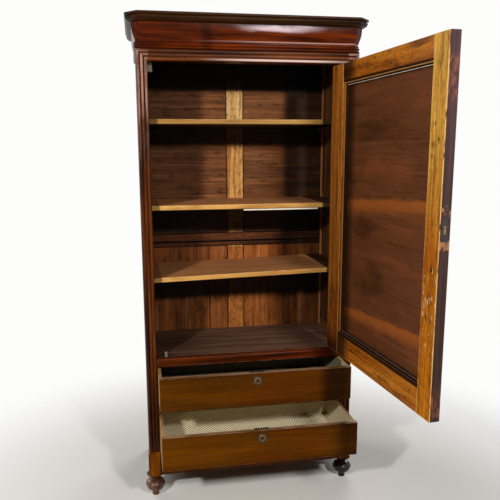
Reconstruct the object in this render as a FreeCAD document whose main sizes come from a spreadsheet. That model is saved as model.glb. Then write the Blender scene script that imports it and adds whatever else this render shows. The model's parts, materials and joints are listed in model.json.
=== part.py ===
import FreeCAD, Part
import math
import os
import Sketcher

# A tall one-door mahogany cupboard with two drawers below, shown with its door and drawers open.
# X runs to the right, Y into the cupboard, Z up. All lengths are in millimetres.

LENGTHS = {
    # carcass
    "carcass_width": 900, "carcass_depth": 446, "post_width": 44, "post_inset": 2.6,
    "reed_rise": 5, "rear_post_width": 26, "rear_post_depth": 50,
    "foot_height": 97, "block_height": 111, "block_lip": 5, "block_ledge": 14, "block_depth": 52,
    "board_thickness": 22,
    "frieze_height": 73, "frieze_flare": 14, "frieze_wall": 46, "corner_cant": 25,
    "cap_height": 34, "cap_overhang": 38, "astragal_swell": 7,
    "side_set": 3, "side_rail_thickness": 22, "side_panel_thickness": 10, "side_panel_set": 6,
    "side_rail_height": 80, "side_mid_height": 62, "side_bottom_height": 111,
    "back_set": 25, "back_frame_thickness": 16, "back_panel_thickness": 8, "back_panel_set": 5,
    "back_muntin_width": 80, "back_mid_rise": 75, "back_mid_lower": 22, "back_mid_gap": 2,
    "back_mid_upper": 40,
    "back_top_height": 70, "back_bottom_height": 64,
    # fixed front rails and the cupboard's floor
    "rail_set": 4, "rail_depth": 30, "sill_height": 35,
    "divider_height": 60, "plinth_height": 136, "floor_thickness": 18,
    "sill_nose": 7,
    # shelves
    "shelf_clear": 3.4, "shelf_thickness": 21, "shelf_end_gap": 1.5,
    "bottom_bay": 336, "middle_bay": 305, "upper_bay": 349, "top_bay": 217,
    "cleat_width": 18, "cleat_height": 22, "lath_length": 325, "lath_width": 16, "lath_height": 6,
    "lath_end_set": 102,
    # stops of the shut door
    "peg_radius": 6, "peg_inset": 37, "peg_set": 9, "stop_gap": 0.4, "stop_reach": 19.5,
    "stop_depth": 14, "stop_height": 36,
    # turned feet
    "ball_radius": 42, "ball_level": 50, "sole_radius": 15.5, "sole_height": 16,
    "neck_radius": 17, "neck_height": 4, "collar_radius": 38, "collar_height": 21,
    # door
    "door_thickness": 36.6, "door_set": 24, "door_gap": 4, "door_sill_gap": 22, "door_head_gap": 13,
    "lock_stile_width": 77, "hinge_stile_width": 104, "door_top_rail_height": 70,
    "door_bottom_rail_height": 90, "door_panel_set": 3, "door_panel_thickness": 10, "inner_bead": 14,
    "front_bead_width": 26, "front_bead_rise": 14,
    "hinge_out": 7, "hinge_in": 6, "knuckle_radius": 6.5, "knuckle_length": 44, "pin_radius": 3.2,
    "pin_clearance": 0.05, "pin_end_gap": 2, "knuckle_gap": 0.4, "leaf_thickness": 1.5,
    "leaf_depth": 40, "hinge_end_set": 150,
    # door lock
    "lock_rise": 607, "lock_height": 64, "lock_wall": 19, "lock_thickness": 16,
    "plate_height": 72, "plate_width": 22, "plate_thickness": 2,
    "bolt_height": 26, "bolt_thickness": 8, "bolt_length": 40, "bolt_clearance": 0.3, "bolt_throw": 12,
    "keeper_height": 60, "mortise_spare": 1,
    # drawers
    "upper_drawer_out": 134, "lower_drawer_out": 226, "drawer_set": 3, "drawer_gap": 2.5,
    "drawer_lift_gap": 4, "drawer_top_gap": 2, "drawer_front_height": 143,
    "drawer_front_thickness": 22, "drawer_end_gap": 22, "drawer_side_thickness": 12,
    "drawer_side_height": 134, "drawer_side_lift": 2, "drawer_bottom_thickness": 8, "drawer_bottom_lift": 6,
    "drawer_back_drop": 12, "lining_thickness": 0.6, "tail_length": 14,
    "runner_width": 44, "runner_height": 18, "runner_gap": 0.3, "guide_height": 16, "guide_gap": 1,
    "catch_width": 60, "catch_height": 46, "catch_depth": 12, "catch_proud": 3,
    "catch_bolt_width": 28, "catch_bolt_depth": 5, "catch_bolt_height": 30, "catch_throw": 8,
    "escutcheon_radius": 22, "escutcheon_thickness": 2, "boss_radius": 13, "boss_height": 2,
    "keyhole_radius": 3.2, "keyhole_slot": 2.6, "keyhole_drop": 9, "keyhole_level": 33,
    "overrun": 20,
}
ANGLES = {"door_angle": 95.6, "lower_shelf_tilt": 1.4}

# Moulding profiles, as shares of height and of swell, from the bottom up.
ASTRAGAL_SHARES = (
    (0.0, 0.25), (0.06, 0.68), (0.16, 0.95), (0.25, 1.0), (0.34, 0.95), (0.45, 0.64), (0.5, 0.36),
    (0.55, 0.64), (0.66, 0.95), (0.75, 1.0), (0.84, 0.95), (0.94, 0.68), (1.0, 0.25),
)
FRIEZE_SHARES = (
    (0.0, 0.30), (0.05, 0.30), (0.07, 0.0), (0.13, 0.04), (0.22, 0.16), (0.34, 0.38), (0.46, 0.60),
    (0.58, 0.77), (0.72, 0.90), (0.86, 0.975), (1.0, 1.0),
)
CAP_SHARES = (
    (0.0, 0.42), (0.08, 0.58), (0.18, 0.72), (0.32, 0.84), (0.46, 0.90), (0.58, 0.90), (0.66, 0.84),
    (0.70, 0.78), (0.72, 0.94), (0.80, 1.0), (1.0, 1.0),
)
# Strips round the door's panel, from the inner side to the outer: share of depth, of the strip's outer
# and of its inner edge.
INNER_BEAD_SHARES = (
    (0.0, 0.0, 0.62), (0.06, 0.0, 0.68), (0.48, 0.0, 0.70),
    (0.54, 0.0, 0.95), (0.62, 0.0, 1.0), (1.0, 0.0, 1.0),
)
FRONT_BEAD_SHARES = (
    (0.0, 0.0, 1.0), (0.3, 0.0, 1.0), (0.42, 0.05, 0.86), (0.56, 0.10, 0.76), (0.70, 0.14, 0.70),
    (0.84, 0.22, 0.62), (0.94, 0.30, 0.54), (1.0, 0.36, 0.48),
)
# Outer edge of a canted corner, offset by one unit, grows by this share at each end.
CANT_GROWTH_SHARE = math.tan(math.pi / 8)
# Height of each dovetail at its root and at its end, as shares of the space between tails.
TAIL_SHARES = ((0.56, 0.76), (0.56, 0.76), (0.56, 0.76), (0.56, 0.76))
# Places of the joints in the lower back's two bays, from the muntin out, as shares of a bay's width.
BACK_JOINT_SHARES = {"left": (0.232,), "right": ()}
# Where a foot's belly turns upwards and its flare outwards: share of the way out and of the way up.
BELLY_OUT_SHARE = 0.72
BELLY_UP_SHARE = 0.44
FLARE_OUT_SHARE = 0.3
FLARE_UP_SHARE = 0.6

doc = FreeCAD.newDocument("bonnetiere")
sheet = doc.addObject("Spreadsheet::Sheet", "dims")


class Size:
    """A length or an angle together with the spreadsheet formula that gives it."""

    def __init__(self, value, text):
        self.value = value
        self.text = text

    def _join(self, other, sign, value):
        return Size(value, "(" + self.text + " " + sign + " " + as_size(other).text + ")")

    def __add__(self, other):
        return self._join(other, "+", self.value + as_size(other).value)

    def __sub__(self, other):
        return self._join(other, "-", self.value - as_size(other).value)

    def __mul__(self, other):
        return self._join(other, "*", self.value * as_size(other).value)

    def __truediv__(self, other):
        return self._join(other, "/", self.value / as_size(other).value)

    def __neg__(self):
        return Size(-self.value, "(0 - " + self.text + ")")


def as_size(value):
    """A plain number as a Size."""
    if isinstance(value, Size):
        return value
    return Size(float(value), repr(float(value)))


def cosine(angle):
    """Cosine of an angle in degrees."""
    return Size(math.cos(math.radians(angle.value)), "cos(" + angle.text + ")")


def sine(angle):
    """Sine of an angle in degrees."""
    return Size(math.sin(math.radians(angle.value)), "sin(" + angle.text + ")")


class Dims:
    """The named sizes of the sheet, read by name."""


def fill_sheet():
    """Writes every named size into a cell of its own and returns them by name."""
    named = Dims()
    row = 0
    for name, number in list(LENGTHS.items()) + list(ANGLES.items()):
        row = row + 1
        sheet.set("A" + str(row), name)
        sheet.set("B" + str(row), str(number))
        sheet.setAlias("B" + str(row), name)
        setattr(named, name, Size(float(number), "dims." + name))
    doc.recompute()
    return named


d = fill_sheet()
NODES = []


def bind(piece, prop, size):
    """Binds one property of an object to its formula."""
    piece.setExpression(prop, as_size(size).text)


def place(piece, x, y, z):
    """Binds the place of an object."""
    bind(piece, "Placement.Base.x", x)
    bind(piece, "Placement.Base.y", y)
    bind(piece, "Placement.Base.z", z)


def turn(piece, axis, degrees):
    """Turns an object about an axis through its own origin."""
    piece.Placement = FreeCAD.Placement(FreeCAD.Vector(0, 0, 0), FreeCAD.Rotation(axis, degrees))


def box(name, x, y, z):
    """A board between two planes each way."""
    piece = doc.addObject("Part::Box", name)
    bind(piece, "Length", x[1] - x[0])
    bind(piece, "Width", y[1] - y[0])
    bind(piece, "Height", z[1] - z[0])
    place(piece, x[0], y[0], z[0])
    return piece


def cylinder(name, x, y, z, radius, height, axis="Z"):
    """A round bar that starts at a point and runs along Z or along Y."""
    piece = doc.addObject("Part::Cylinder", name)
    if axis == "Y":
        turn(piece, FreeCAD.Vector(1, 0, 0), -90)
    bind(piece, "Radius", radius)
    bind(piece, "Height", height)
    place(piece, x, y, z)
    return piece


def fuse(name, pieces):
    """One solid out of several that meet."""
    piece = doc.addObject("Part::MultiFuse", name)
    piece.Shapes = pieces
    piece.Refine = True
    return piece


def cut(name, base, tools):
    """A solid less one or more others."""
    piece = doc.addObject("Part::Cut", name)
    piece.Base = base
    piece.Tool = tools[0] if len(tools) == 1 else fuse(name + "_cutters", tools)
    return piece


def group(name, pieces):
    """Like pieces kept together in one node."""
    piece = doc.addObject("Part::Compound", name)
    piece.Links = pieces
    return piece


def node(piece):
    """Counts an object as a finished piece of the cupboard."""
    NODES.append(piece)
    return piece


def plane_of(body, role):
    """One of a body's own origin planes."""
    for feature in body.Origin.OriginFeatures:
        if feature.Role == role:
            return feature
    return None


def outline(body, name, points, radii=None, level=None, role="XY_Plane"):
    """A closed sketch through points, with an arc of the given radius where a side has one."""
    sketch = body.newObject("Sketcher::SketchObject", name)
    sketch.AttachmentSupport = [(plane_of(body, role), "")]
    sketch.MapMode = "FlatFace"
    if level is not None:
        sketch.setExpression(".AttachmentOffset.Base.z", as_size(level).text)
    count = len(points)
    spots = [FreeCAD.Vector(as_size(p[0]).value, as_size(p[1]).value, 0) for p in points]
    for i in range(count):
        start = spots[i]
        end = spots[(i + 1) % count]
        radius = radii.get(i) if radii else None
        if radius is None:
            sketch.addGeometry(Part.LineSegment(start, end))
        else:
            chord = end - start
            half = chord.Length / 2
            rise = radius.value - math.sqrt(max(radius.value ** 2 - half ** 2, 0))
            side = FreeCAD.Vector(chord.y, -chord.x, 0).normalize() * rise
            sketch.addGeometry(Part.Arc(start, (start + end) / 2 + side, end))
    ends = [line_ends(sketch, i, spots[i]) for i in range(count)]
    for i in range(count):
        follow = (i + 1) % count
        sketch.addConstraint(Sketcher.Constraint("Coincident", i, ends[i][1], follow, ends[follow][0]))
    for i in range(count):
        tie_point(sketch, i, ends[i][0], points[i])
        if radii and i in radii:
            row = sketch.addConstraint(Sketcher.Constraint("Radius", i, radii[i].value))
            sketch.setExpression("Constraints[" + str(row) + "]", radii[i].text)
    return sketch


def line_ends(sketch, index, start):
    """Which end of a drawn side is its start: an arc keeps its own sense."""
    if (sketch.getPoint(index, 1) - start).Length < (sketch.getPoint(index, 2) - start).Length:
        return 1, 2
    return 2, 1


def tie_point(sketch, index, end, point):
    """Ties a corner of an outline to its formulas."""
    for kind, axis, size in (("DistanceX", -2, as_size(point[0])), ("DistanceY", -1, as_size(point[1]))):
        if size.text == "0.0":
            sketch.addConstraint(Sketcher.Constraint("PointOnObject", index, end, axis))
            continue
        row = sketch.addConstraint(Sketcher.Constraint(kind, -1, 1, index, end, size.value))
        sketch.setExpression("Constraints[" + str(row) + "]", size.text)


def prism(name, points, y):
    """A straight piece whose outline is drawn from the front, between two planes along Y."""
    body = doc.addObject("PartDesign::Body", name)
    sketch = outline(body, name + "_outline", points)
    pad = body.newObject("PartDesign::Pad", name + "_pad")
    pad.Profile = sketch
    bind(pad, "Length", y[1] - y[0])
    turn(body, FreeCAD.Vector(1, 0, 0), 90)
    place(body, 0, y[1], 0)
    return body


def lofted(name, sections):
    """A moulded board, ruled through outlines at rising levels."""
    body = doc.addObject("PartDesign::Body", name)
    drawn = []
    for i, (level, points) in enumerate(sections):
        drawn.append(outline(body, name + "_section" + str(i), points, None, level))
    loft = body.newObject("PartDesign::AdditiveLoft", name + "_loft")
    loft.Profile = drawn[0]
    loft.Sections = drawn[1:]
    loft.Ruled = True
    return body


half_width = d.carcass_width / 2
opening_half = half_width - d.post_width
back_plane = d.carcass_depth - d.back_set
back_face = back_plane + d.back_frame_thickness
rear_inner = half_width - d.rear_post_width
block_top = d.foot_height + d.block_height
plinth_top = d.foot_height + d.plinth_height
lower_drawer_bottom = plinth_top + d.drawer_lift_gap
divider_bottom = lower_drawer_bottom + d.drawer_front_height + d.drawer_top_gap
divider_top = divider_bottom + d.divider_height
upper_drawer_bottom = divider_top + d.drawer_lift_gap
sill_bottom = upper_drawer_bottom + d.drawer_front_height + d.drawer_top_gap
sill_top = sill_bottom + d.sill_height
lower_shelf_top = sill_top + d.bottom_bay
middle_shelf_top = lower_shelf_top + d.middle_bay
upper_shelf_top = middle_shelf_top + d.upper_bay
opening_top = upper_shelf_top + d.top_bay
back_mid_bottom = lower_shelf_top + d.back_mid_rise
frame_top = opening_top + d.post_width
frieze_bottom = frame_top + d.board_thickness
cap_bottom = frieze_bottom + d.frieze_height

# The hinge axis stands in front of the right post. Door pieces are drawn shut, then swung open about it.
axis_x = opening_half - d.hinge_in
axis_y = -d.hinge_out
door_right = opening_half - d.door_gap
door_left = door_right - (opening_half * 2 - d.door_gap * 2)
door_front = d.door_set
door_back = d.door_set + d.door_thickness
door_bottom = sill_top + d.door_sill_gap
door_top = opening_top - d.door_head_gap
lock_level = door_bottom + d.lock_rise
lock_depth = d.lock_stile_width - d.lock_wall
post_depth = door_back - d.post_inset
shelf_front = door_back + d.shelf_clear
drawer_length = back_plane - d.drawer_set - d.drawer_end_gap
catch_start = d.drawer_front_thickness + d.catch_proud - d.catch_depth
swing_cos = cosine(d.door_angle)
swing_sin = sine(d.door_angle)

# The origin lies under the middle of the whole open cupboard, so every Y is counted from there.
free_edge_y = axis_y + swing_sin * (door_left - axis_x) + swing_cos * (door_back - axis_y)
front = (free_edge_y + d.carcass_depth) / -2


def y_at(size):
    """A depth behind the front plane of the posts, counted from the origin."""
    return front + size


def span_y(low, high):
    """A pair of depths counted from the origin."""
    return (y_at(low), y_at(high))


def swing(piece):
    """Swings a finished door piece from shut to its open place."""
    turn(piece, FreeCAD.Vector(0, 0, 1), d.door_angle.value)
    bind(piece, "Placement.Rotation.Angle", d.door_angle)
    pivot_y = y_at(axis_y)
    bind(piece, "Placement.Base.x", axis_x - swing_cos * axis_x + swing_sin * pivot_y)
    bind(piece, "Placement.Base.y", pivot_y - swing_sin * axis_x - swing_cos * pivot_y)
    return piece


def frame_profile(body):
    """Three reeds side by side across the face of a post or of the top rail."""
    chord = d.post_width / 3
    radius = (chord * chord / 4 + d.reed_rise * d.reed_rise) / (d.reed_rise * 2)
    points = [
        (0, post_depth), (0, d.reed_rise), (chord, d.reed_rise), (chord * 2, d.reed_rise),
        (d.post_width, d.reed_rise), (d.post_width, post_depth),
    ]
    return outline(body, body.Name + "_profile", points, {1: radius, 2: radius, 3: radius})


def frame_member(name, length):
    """A length of the reeded frame, along its own Z."""
    body = doc.addObject("PartDesign::Body", name)
    pad = body.newObject("PartDesign::Pad", name + "_pad")
    pad.Profile = frame_profile(body)
    bind(pad, "Length", length)
    return body


def mitre(name, side, keep_post):
    """Cutter for the mitre where a post meets the top rail."""
    outer = half_width * side
    inner = opening_half * side
    far = d.overrun * side
    corner_low = opening_top - d.overrun
    corner_high = frame_top + d.overrun
    third = (inner - far, corner_high) if keep_post else (outer + far, corner_low)
    points = [(outer + far, corner_high), (inner - far, corner_low), third]
    return prism(name, points, (y_at(-d.overrun), y_at(post_depth + d.overrun)))


def keeper_cuts():
    """The mortise for the door's bolt and the bed of its keeper in the left post."""
    middle = door_front + d.door_thickness / 2
    reach = d.mortise_spare + d.bolt_throw
    half_y = d.bolt_thickness / 2 + d.mortise_spare
    half_z = d.bolt_height / 2 + d.mortise_spare
    hole = box(
        "keeper_mortise", (-opening_half - reach, -opening_half + d.overrun),
        span_y(middle - half_y, middle + half_y), (lock_level - half_z, lock_level + half_z))
    bed = box(
        "keeper_bed", (-opening_half - d.plate_thickness, -opening_half + d.overrun),
        span_y(middle - d.plate_width / 2, middle + d.plate_width / 2),
        (lock_level - d.keeper_height / 2, lock_level + d.keeper_height / 2))
    plate = box(
        "keeper_blank", (-opening_half - d.plate_thickness, -opening_half),
        span_y(middle - d.plate_width / 2, middle + d.plate_width / 2),
        (lock_level - d.keeper_height / 2, lock_level + d.keeper_height / 2))
    node(cut("lock_keeper", plate, [hole]))
    return [hole, bed]


def build_front_frame():
    """Reeded posts and top rail, mitred like a picture frame, and the rails between the posts."""
    length = frame_top - block_top
    left = frame_member("left_post_blank", length)
    place(left, -half_width, front, block_top)
    node(cut("front_left_post", left, [mitre("left_post_mitre", -1, True)] + keeper_cuts()))
    right = frame_member("right_post_blank", length)
    place(right, opening_half, front, block_top)
    node(cut("front_right_post", right, [mitre("right_post_mitre", 1, True)]))
    rail = frame_member("top_rail_blank", d.carcass_width)
    turn(rail, FreeCAD.Vector(0, 1, 0), 90)
    place(rail, -half_width, front, frame_top)
    ends = [mitre("top_rail_mitre_left", -1, False), mitre("top_rail_mitre_right", 1, False)]
    node(cut("top_rail", rail, ends))
    rail_y = span_y(d.rail_set, d.rail_set + d.rail_depth)
    between = (-opening_half, opening_half)
    sill = box("sill_rail_blank", between, rail_y, (sill_bottom, sill_top))
    node(cut("sill_rail", sill, [nose_cut(), catch_mortise("sill_mortise", sill_bottom)]))
    divider = box("divider_rail_blank", between, rail_y, (divider_bottom, divider_top))
    node(cut("divider_rail", divider, [catch_mortise("divider_mortise", divider_bottom)]))
    node(box("plinth_rail", between, rail_y, (d.foot_height, plinth_top)))


def nose_cut():
    """Rounds the sill's upper front arris."""
    square = box(
        "sill_nose_square", (-opening_half - d.overrun, opening_half + d.overrun),
        (y_at(d.rail_set - d.overrun), y_at(d.rail_set + d.sill_nose)),
        (sill_top - d.sill_nose, sill_top + d.overrun))
    bar = doc.addObject("Part::Cylinder", "sill_nose_bar")
    turn(bar, FreeCAD.Vector(0, 1, 0), 90)
    bind(bar, "Radius", d.sill_nose)
    bind(bar, "Height", opening_half * 2 + d.overrun * 4)
    place(bar, -opening_half - d.overrun * 2, y_at(d.rail_set + d.sill_nose), sill_top - d.sill_nose)
    return cut("sill_nose_cutter", square, [bar])


def catch_mortise(name, level):
    """Mortise in a rail's underside for a drawer's bolt."""
    half_x = d.catch_bolt_width / 2 + d.mortise_spare
    low = d.drawer_set + catch_start + (d.catch_depth - d.catch_bolt_depth) / 2
    return box(
        name, (-half_x, half_x),
        span_y(low - d.mortise_spare, low + d.catch_bolt_depth + d.mortise_spare),
        (level - d.overrun, level + d.catch_throw + d.mortise_spare))


def build_carcass():
    """Rear posts, framed sides, plinth blocks and feet."""
    rear_y = span_y(d.carcass_depth - d.rear_post_depth, d.carcass_depth)
    side_y = span_y(post_depth, d.carcass_depth - d.rear_post_depth)
    rail_x = (half_width - d.side_set - d.side_rail_thickness, half_width - d.side_set)
    panel_out = half_width - d.side_set - d.side_panel_set
    panel_x = (panel_out - d.side_panel_thickness, panel_out)
    mid = sill_top - d.side_mid_height / 2
    low = (d.foot_height, d.foot_height + d.side_bottom_height)
    middle = (mid, mid + d.side_mid_height)
    high = (frame_top - d.side_rail_height, frame_top)
    posts = []
    rails = []
    panels = []
    blocks = []
    for side, mirror in (("left", -1), ("right", 1)):
        post_x = mirrored((rear_inner, half_width), mirror)
        posts.append(box(side + "_rear_post", post_x, rear_y, (as_size(0), frame_top)))
        for which, level in (("bottom", low), ("middle", middle), ("top", high)):
            rails.append(box(side + "_side_rail_" + which, mirrored(rail_x, mirror), side_y, level))
        for which, level in (("lower", (low[1], middle[0])), ("upper", (middle[1], high[0]))):
            panels.append(box(side + "_side_panel_" + which, mirrored(panel_x, mirror), side_y, level))
        blocks.append(plinth_block(side + "_plinth_block", mirror))
    node(group("rear_posts", posts))
    node(group("side_rails", rails))
    node(group("side_panels", panels))
    node(group("plinth_blocks", blocks))


def mirrored(span, side):
    """The same span on the left or on the right of the middle."""
    if side > 0:
        return span
    return (-span[1], -span[0])


def plinth_block(name, mirror):
    """A block under a front post, proud of it, with a sloping ledge at its head."""
    rear = y_at(d.block_depth + d.block_lip)
    inner = opening_half * mirror
    sections = []
    for level, lip in (
            (d.foot_height, d.block_lip), (block_top - d.block_ledge, d.block_lip), (block_top, as_size(0))):
        outer = (half_width + lip) * mirror
        sections.append((level, [(outer, rear), (inner, rear), (inner, y_at(-lip)), (outer, y_at(-lip))]))
    return lofted(name, sections)


def build_feet():
    """Two turned feet: a sole, a ball like a spinning top, a neck and a flare under the block."""
    feet = []
    for side, mirror in (("left", -1), ("right", 1)):
        body = doc.addObject("PartDesign::Body", side + "_foot")
        neck_high = d.foot_height - d.collar_height
        neck_low = neck_high - d.neck_height
        belly = d.ball_radius - d.sole_radius
        under = d.ball_level - d.sole_height
        shoulder = d.ball_radius - d.neck_radius
        above = neck_low - d.ball_level
        flare = d.collar_radius - d.neck_radius
        points = [
            (0, 0), (d.sole_radius, 0), (d.sole_radius, d.sole_height),
            (d.sole_radius + belly * BELLY_OUT_SHARE, d.sole_height + under * BELLY_UP_SHARE),
            (d.ball_radius, d.ball_level), (d.neck_radius, neck_low), (d.neck_radius, neck_high),
            (d.neck_radius + flare * FLARE_OUT_SHARE, neck_high + d.collar_height * FLARE_UP_SHARE),
            (d.collar_radius, d.foot_height), (0, d.foot_height),
        ]
        round_side = points.index((d.ball_radius, d.ball_level))
        radii = {round_side: (shoulder * shoulder + above * above) / (shoulder * 2)}
        sketch = outline(body, side + "_foot_profile", points, radii, None, "XZ_Plane")
        turned = body.newObject("PartDesign::Revolution", side + "_foot_turning")
        turned.Profile = sketch
        turned.ReferenceAxis = (sketch, ["V_Axis"])
        turned.Angle = 360
        place(body, (half_width - d.post_width / 2) * mirror, y_at(d.block_depth / 2), 0)
        feet.append(body)
    node(group("front_feet", feet))


def corner_outline(swell, back):
    """Plan of a board with canted front corners, swelled outwards by a moulding."""
    side = half_width + swell
    edge = half_width - d.corner_cant + swell * CANT_GROWTH_SHARE
    shoulder = y_at(d.corner_cant - swell * CANT_GROWTH_SHARE)
    nose = y_at(-swell)
    return [(-side, back), (-side, shoulder), (-edge, nose), (edge, nose), (side, shoulder), (side, back)]


def build_cornice():
    """Top board worked into two astragals, ogee frieze with canted corners, and the moulded cap."""
    rear = y_at(d.carcass_depth)
    sections = []
    for level, swell in ASTRAGAL_SHARES:
        height = frame_top + d.board_thickness * level
        sections.append((height, corner_outline(d.astragal_swell * swell, rear)))
    node(lofted("top_board", sections))
    fronts = []
    returns = {-1: [], 1: []}
    joint = y_at(d.frieze_wall)
    for level, swell in FRIEZE_SHARES:
        height = frieze_bottom + d.frieze_height * level
        out = d.frieze_flare * swell
        fronts.append((height, corner_outline(out, joint)))
        for side in (-1, 1):
            outer = (half_width + out) * side
            inner = (half_width - d.frieze_wall / 2) * side
            returns[side].append((height, [(outer, joint), (inner, joint), (inner, rear), (outer, rear)]))
    node(lofted("frieze_front", fronts))
    node(group("frieze_returns", [lofted("frieze_left", returns[-1]), lofted("frieze_right", returns[1])]))
    sections = []
    for level, swell in CAP_SHARES:
        height = cap_bottom + d.cap_height * level
        sections.append((height, corner_outline(d.cap_overhang * swell, rear)))
    node(lofted("cornice_cap", sections))


def build_back():
    """Back in two frames: a muntin and two panels above, a muntin and upright boards below."""
    frame_y = span_y(back_plane, back_face)
    panel_y = span_y(back_plane + d.back_panel_set, back_plane + d.back_panel_set + d.back_panel_thickness)
    across = (-rear_inner, rear_inner)
    mid_low = (back_mid_bottom, back_mid_bottom + d.back_mid_lower)
    mid_high = (mid_low[1] + d.back_mid_gap, mid_low[1] + d.back_mid_gap + d.back_mid_upper)
    low = (d.foot_height, d.foot_height + d.back_bottom_height)
    high = (frame_top - d.back_top_height, frame_top)
    rails = [
        box("back_rail_bottom", across, frame_y, low), box("back_rail_lower_head", across, frame_y, mid_low),
        box("back_rail_upper_foot", across, frame_y, mid_high), box("back_rail_top", across, frame_y, high),
    ]
    node(group("back_rails", rails))
    half = d.back_muntin_width / 2
    node(group("back_muntins", [
        box("back_muntin_upper", (-half, half), frame_y, (mid_high[1], high[0])),
        box("back_muntin_lower", (-half, half), frame_y, (low[1], mid_low[0]))]))
    panels = []
    boards = []
    bay = rear_inner - half
    for name, mirror in (("left", -1), ("right", 1)):
        bay_x = mirrored((half, rear_inner), mirror)
        panels.append(box("back_panel_" + name, bay_x, panel_y, (mid_high[1], high[0])))
        joints = [half + bay * share for share in BACK_JOINT_SHARES[name]]
        for i, (start, stop) in enumerate(zip([half] + joints, joints + [rear_inner])):
            board_x = mirrored((start, stop), mirror)
            boards.append(box("back_board_" + name + str(i), board_x, panel_y, (low[1], mid_low[0])))
    node(group("back_upper_panels", panels))
    node(group("back_lower_boards", boards))


def build_shelves():
    """Cupboard floor, three loose shelves on cleats and a lath under the middle one."""
    end = rear_inner - d.shelf_end_gap
    floor_y = span_y(d.rail_set + d.rail_depth, back_plane)
    floor_z = (sill_top - d.floor_thickness, sill_top)
    floor = box("floor_blank", (-rear_inner, rear_inner), floor_y, floor_z)
    notches = []
    for name, mirror in (("left", -1), ("right", 1)):
        x = mirrored((opening_half, half_width), mirror)
        notch_z = (floor_z[0] - d.overrun, floor_z[1] + d.overrun)
        notches.append(box("floor_notch_" + name, x, span_y(-d.overrun, post_depth), notch_z))
    node(cut("cupboard_floor", floor, notches))
    shelf_y = span_y(shelf_front, back_plane)
    cleat_y = span_y(post_depth, back_plane)
    cleats = []
    for name, top in (("upper", upper_shelf_top), ("middle", middle_shelf_top)):
        under = top - d.shelf_thickness
        node(box(name + "_shelf", (-end, end), shelf_y, (under, top)))
        for side, mirror in (("left", -1), ("right", 1)):
            x = mirrored((rear_inner - d.cleat_width, rear_inner), mirror)
            cleats.append(box(name + "_cleat_" + side, x, cleat_y, (under - d.cleat_height, under)))
    tilt_cos = cosine(d.lower_shelf_tilt)
    tilt_sin = sine(d.lower_shelf_tilt)
    reach = end - d.shelf_thickness * tilt_sin
    shelf = doc.addObject("Part::Box", "lower_shelf")
    turn(shelf, FreeCAD.Vector(0, 1, 0), -d.lower_shelf_tilt.value)
    bind(shelf, "Placement.Rotation.Angle", -d.lower_shelf_tilt)
    shelf.Placement.Rotation.Axis = FreeCAD.Vector(0, 1, 0)
    bind(shelf, "Length", reach * 2 / tilt_cos)
    bind(shelf, "Width", shelf_y[1] - shelf_y[0])
    bind(shelf, "Height", d.shelf_thickness)
    under = lower_shelf_top - d.shelf_thickness
    place(shelf, -reach, shelf_y[0], under)
    node(shelf)
    slope = tilt_sin / tilt_cos
    rise = (reach + rear_inner - d.cleat_width) * slope
    inner_left = (reach - rear_inner + d.cleat_width) * slope
    left_points = [
        (-rear_inner, under - d.cleat_height), (d.cleat_width - rear_inner, under - d.cleat_height),
        (d.cleat_width - rear_inner, under + inner_left),
        (-rear_inner, under - (rear_inner - reach) * slope),
    ]
    right_points = [
        (rear_inner - d.cleat_width, under + rise - d.cleat_height),
        (rear_inner, under + rise - d.cleat_height),
        (rear_inner, under + (reach + rear_inner) * slope),
        (rear_inner - d.cleat_width, under + rise),
    ]
    cleats.append(prism("lower_cleat_left", left_points, cleat_y))
    cleats.append(prism("lower_cleat_right", right_points, cleat_y))
    node(group("shelf_cleats", cleats))
    lath_end = rear_inner - d.cleat_width - d.lath_end_set
    under = middle_shelf_top - d.shelf_thickness
    node(box(
        "shelf_lath", (lath_end - d.lath_length, lath_end), span_y(shelf_front, shelf_front + d.lath_width),
        (under - d.lath_height, under)))


def build_stops():
    """A block behind the upper free corner of the shut door and a peg under the lower one."""
    side_face = d.side_set + d.side_rail_thickness - half_width
    block_y = span_y(door_back + d.stop_gap, door_back + d.stop_gap + d.stop_depth)
    block_z = (opening_top - d.stop_height, opening_top)
    node(box("door_stop_block", (side_face, d.stop_reach - opening_half), block_y, block_z))
    peg_x = door_left + d.peg_inset
    peg_y = y_at(d.door_set + d.peg_set)
    node(cylinder("door_stop_peg", peg_x, peg_y, sill_top, d.peg_radius, d.door_sill_gap - d.stop_gap))


def build_runners():
    """Runners that carry the drawers and guides that steer them."""
    runners = []
    guides = []
    run_y = span_y(d.rail_set + d.rail_depth, back_plane)
    guide_y = span_y(post_depth, back_plane)
    inner = opening_half - d.drawer_gap + d.guide_gap
    for name, bottom in (("upper", upper_drawer_bottom), ("lower", lower_drawer_bottom)):
        top = bottom + d.drawer_side_lift - d.runner_gap
        for side, mirror in (("left", -1), ("right", 1)):
            x = mirrored((rear_inner - d.runner_width, rear_inner), mirror)
            level = (top - d.runner_height, top)
            blank = box(name + "_runner_blank_" + side, x, run_y, level)
            notch_x = mirrored((opening_half, half_width), mirror)
            notch_z = (level[0] - d.overrun, top + d.overrun)
            notch = box(name + "_runner_notch_" + side, notch_x, span_y(-d.overrun, post_depth), notch_z)
            runners.append(cut(name + "_runner_" + side, blank, [notch]))
            guide_x = mirrored((inner, rear_inner), mirror)
            guides.append(box(name + "_guide_" + side, guide_x, guide_y, (top, top + d.guide_height)))
    node(group("drawer_runners", runners))
    node(group("drawer_guides", guides))


def hinge_levels():
    """Heights of the three hinges, each where its two knuckles meet."""
    low = door_bottom + d.hinge_end_set
    high = door_top - d.hinge_end_set
    return (low, (low + high) / 2, high)


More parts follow.
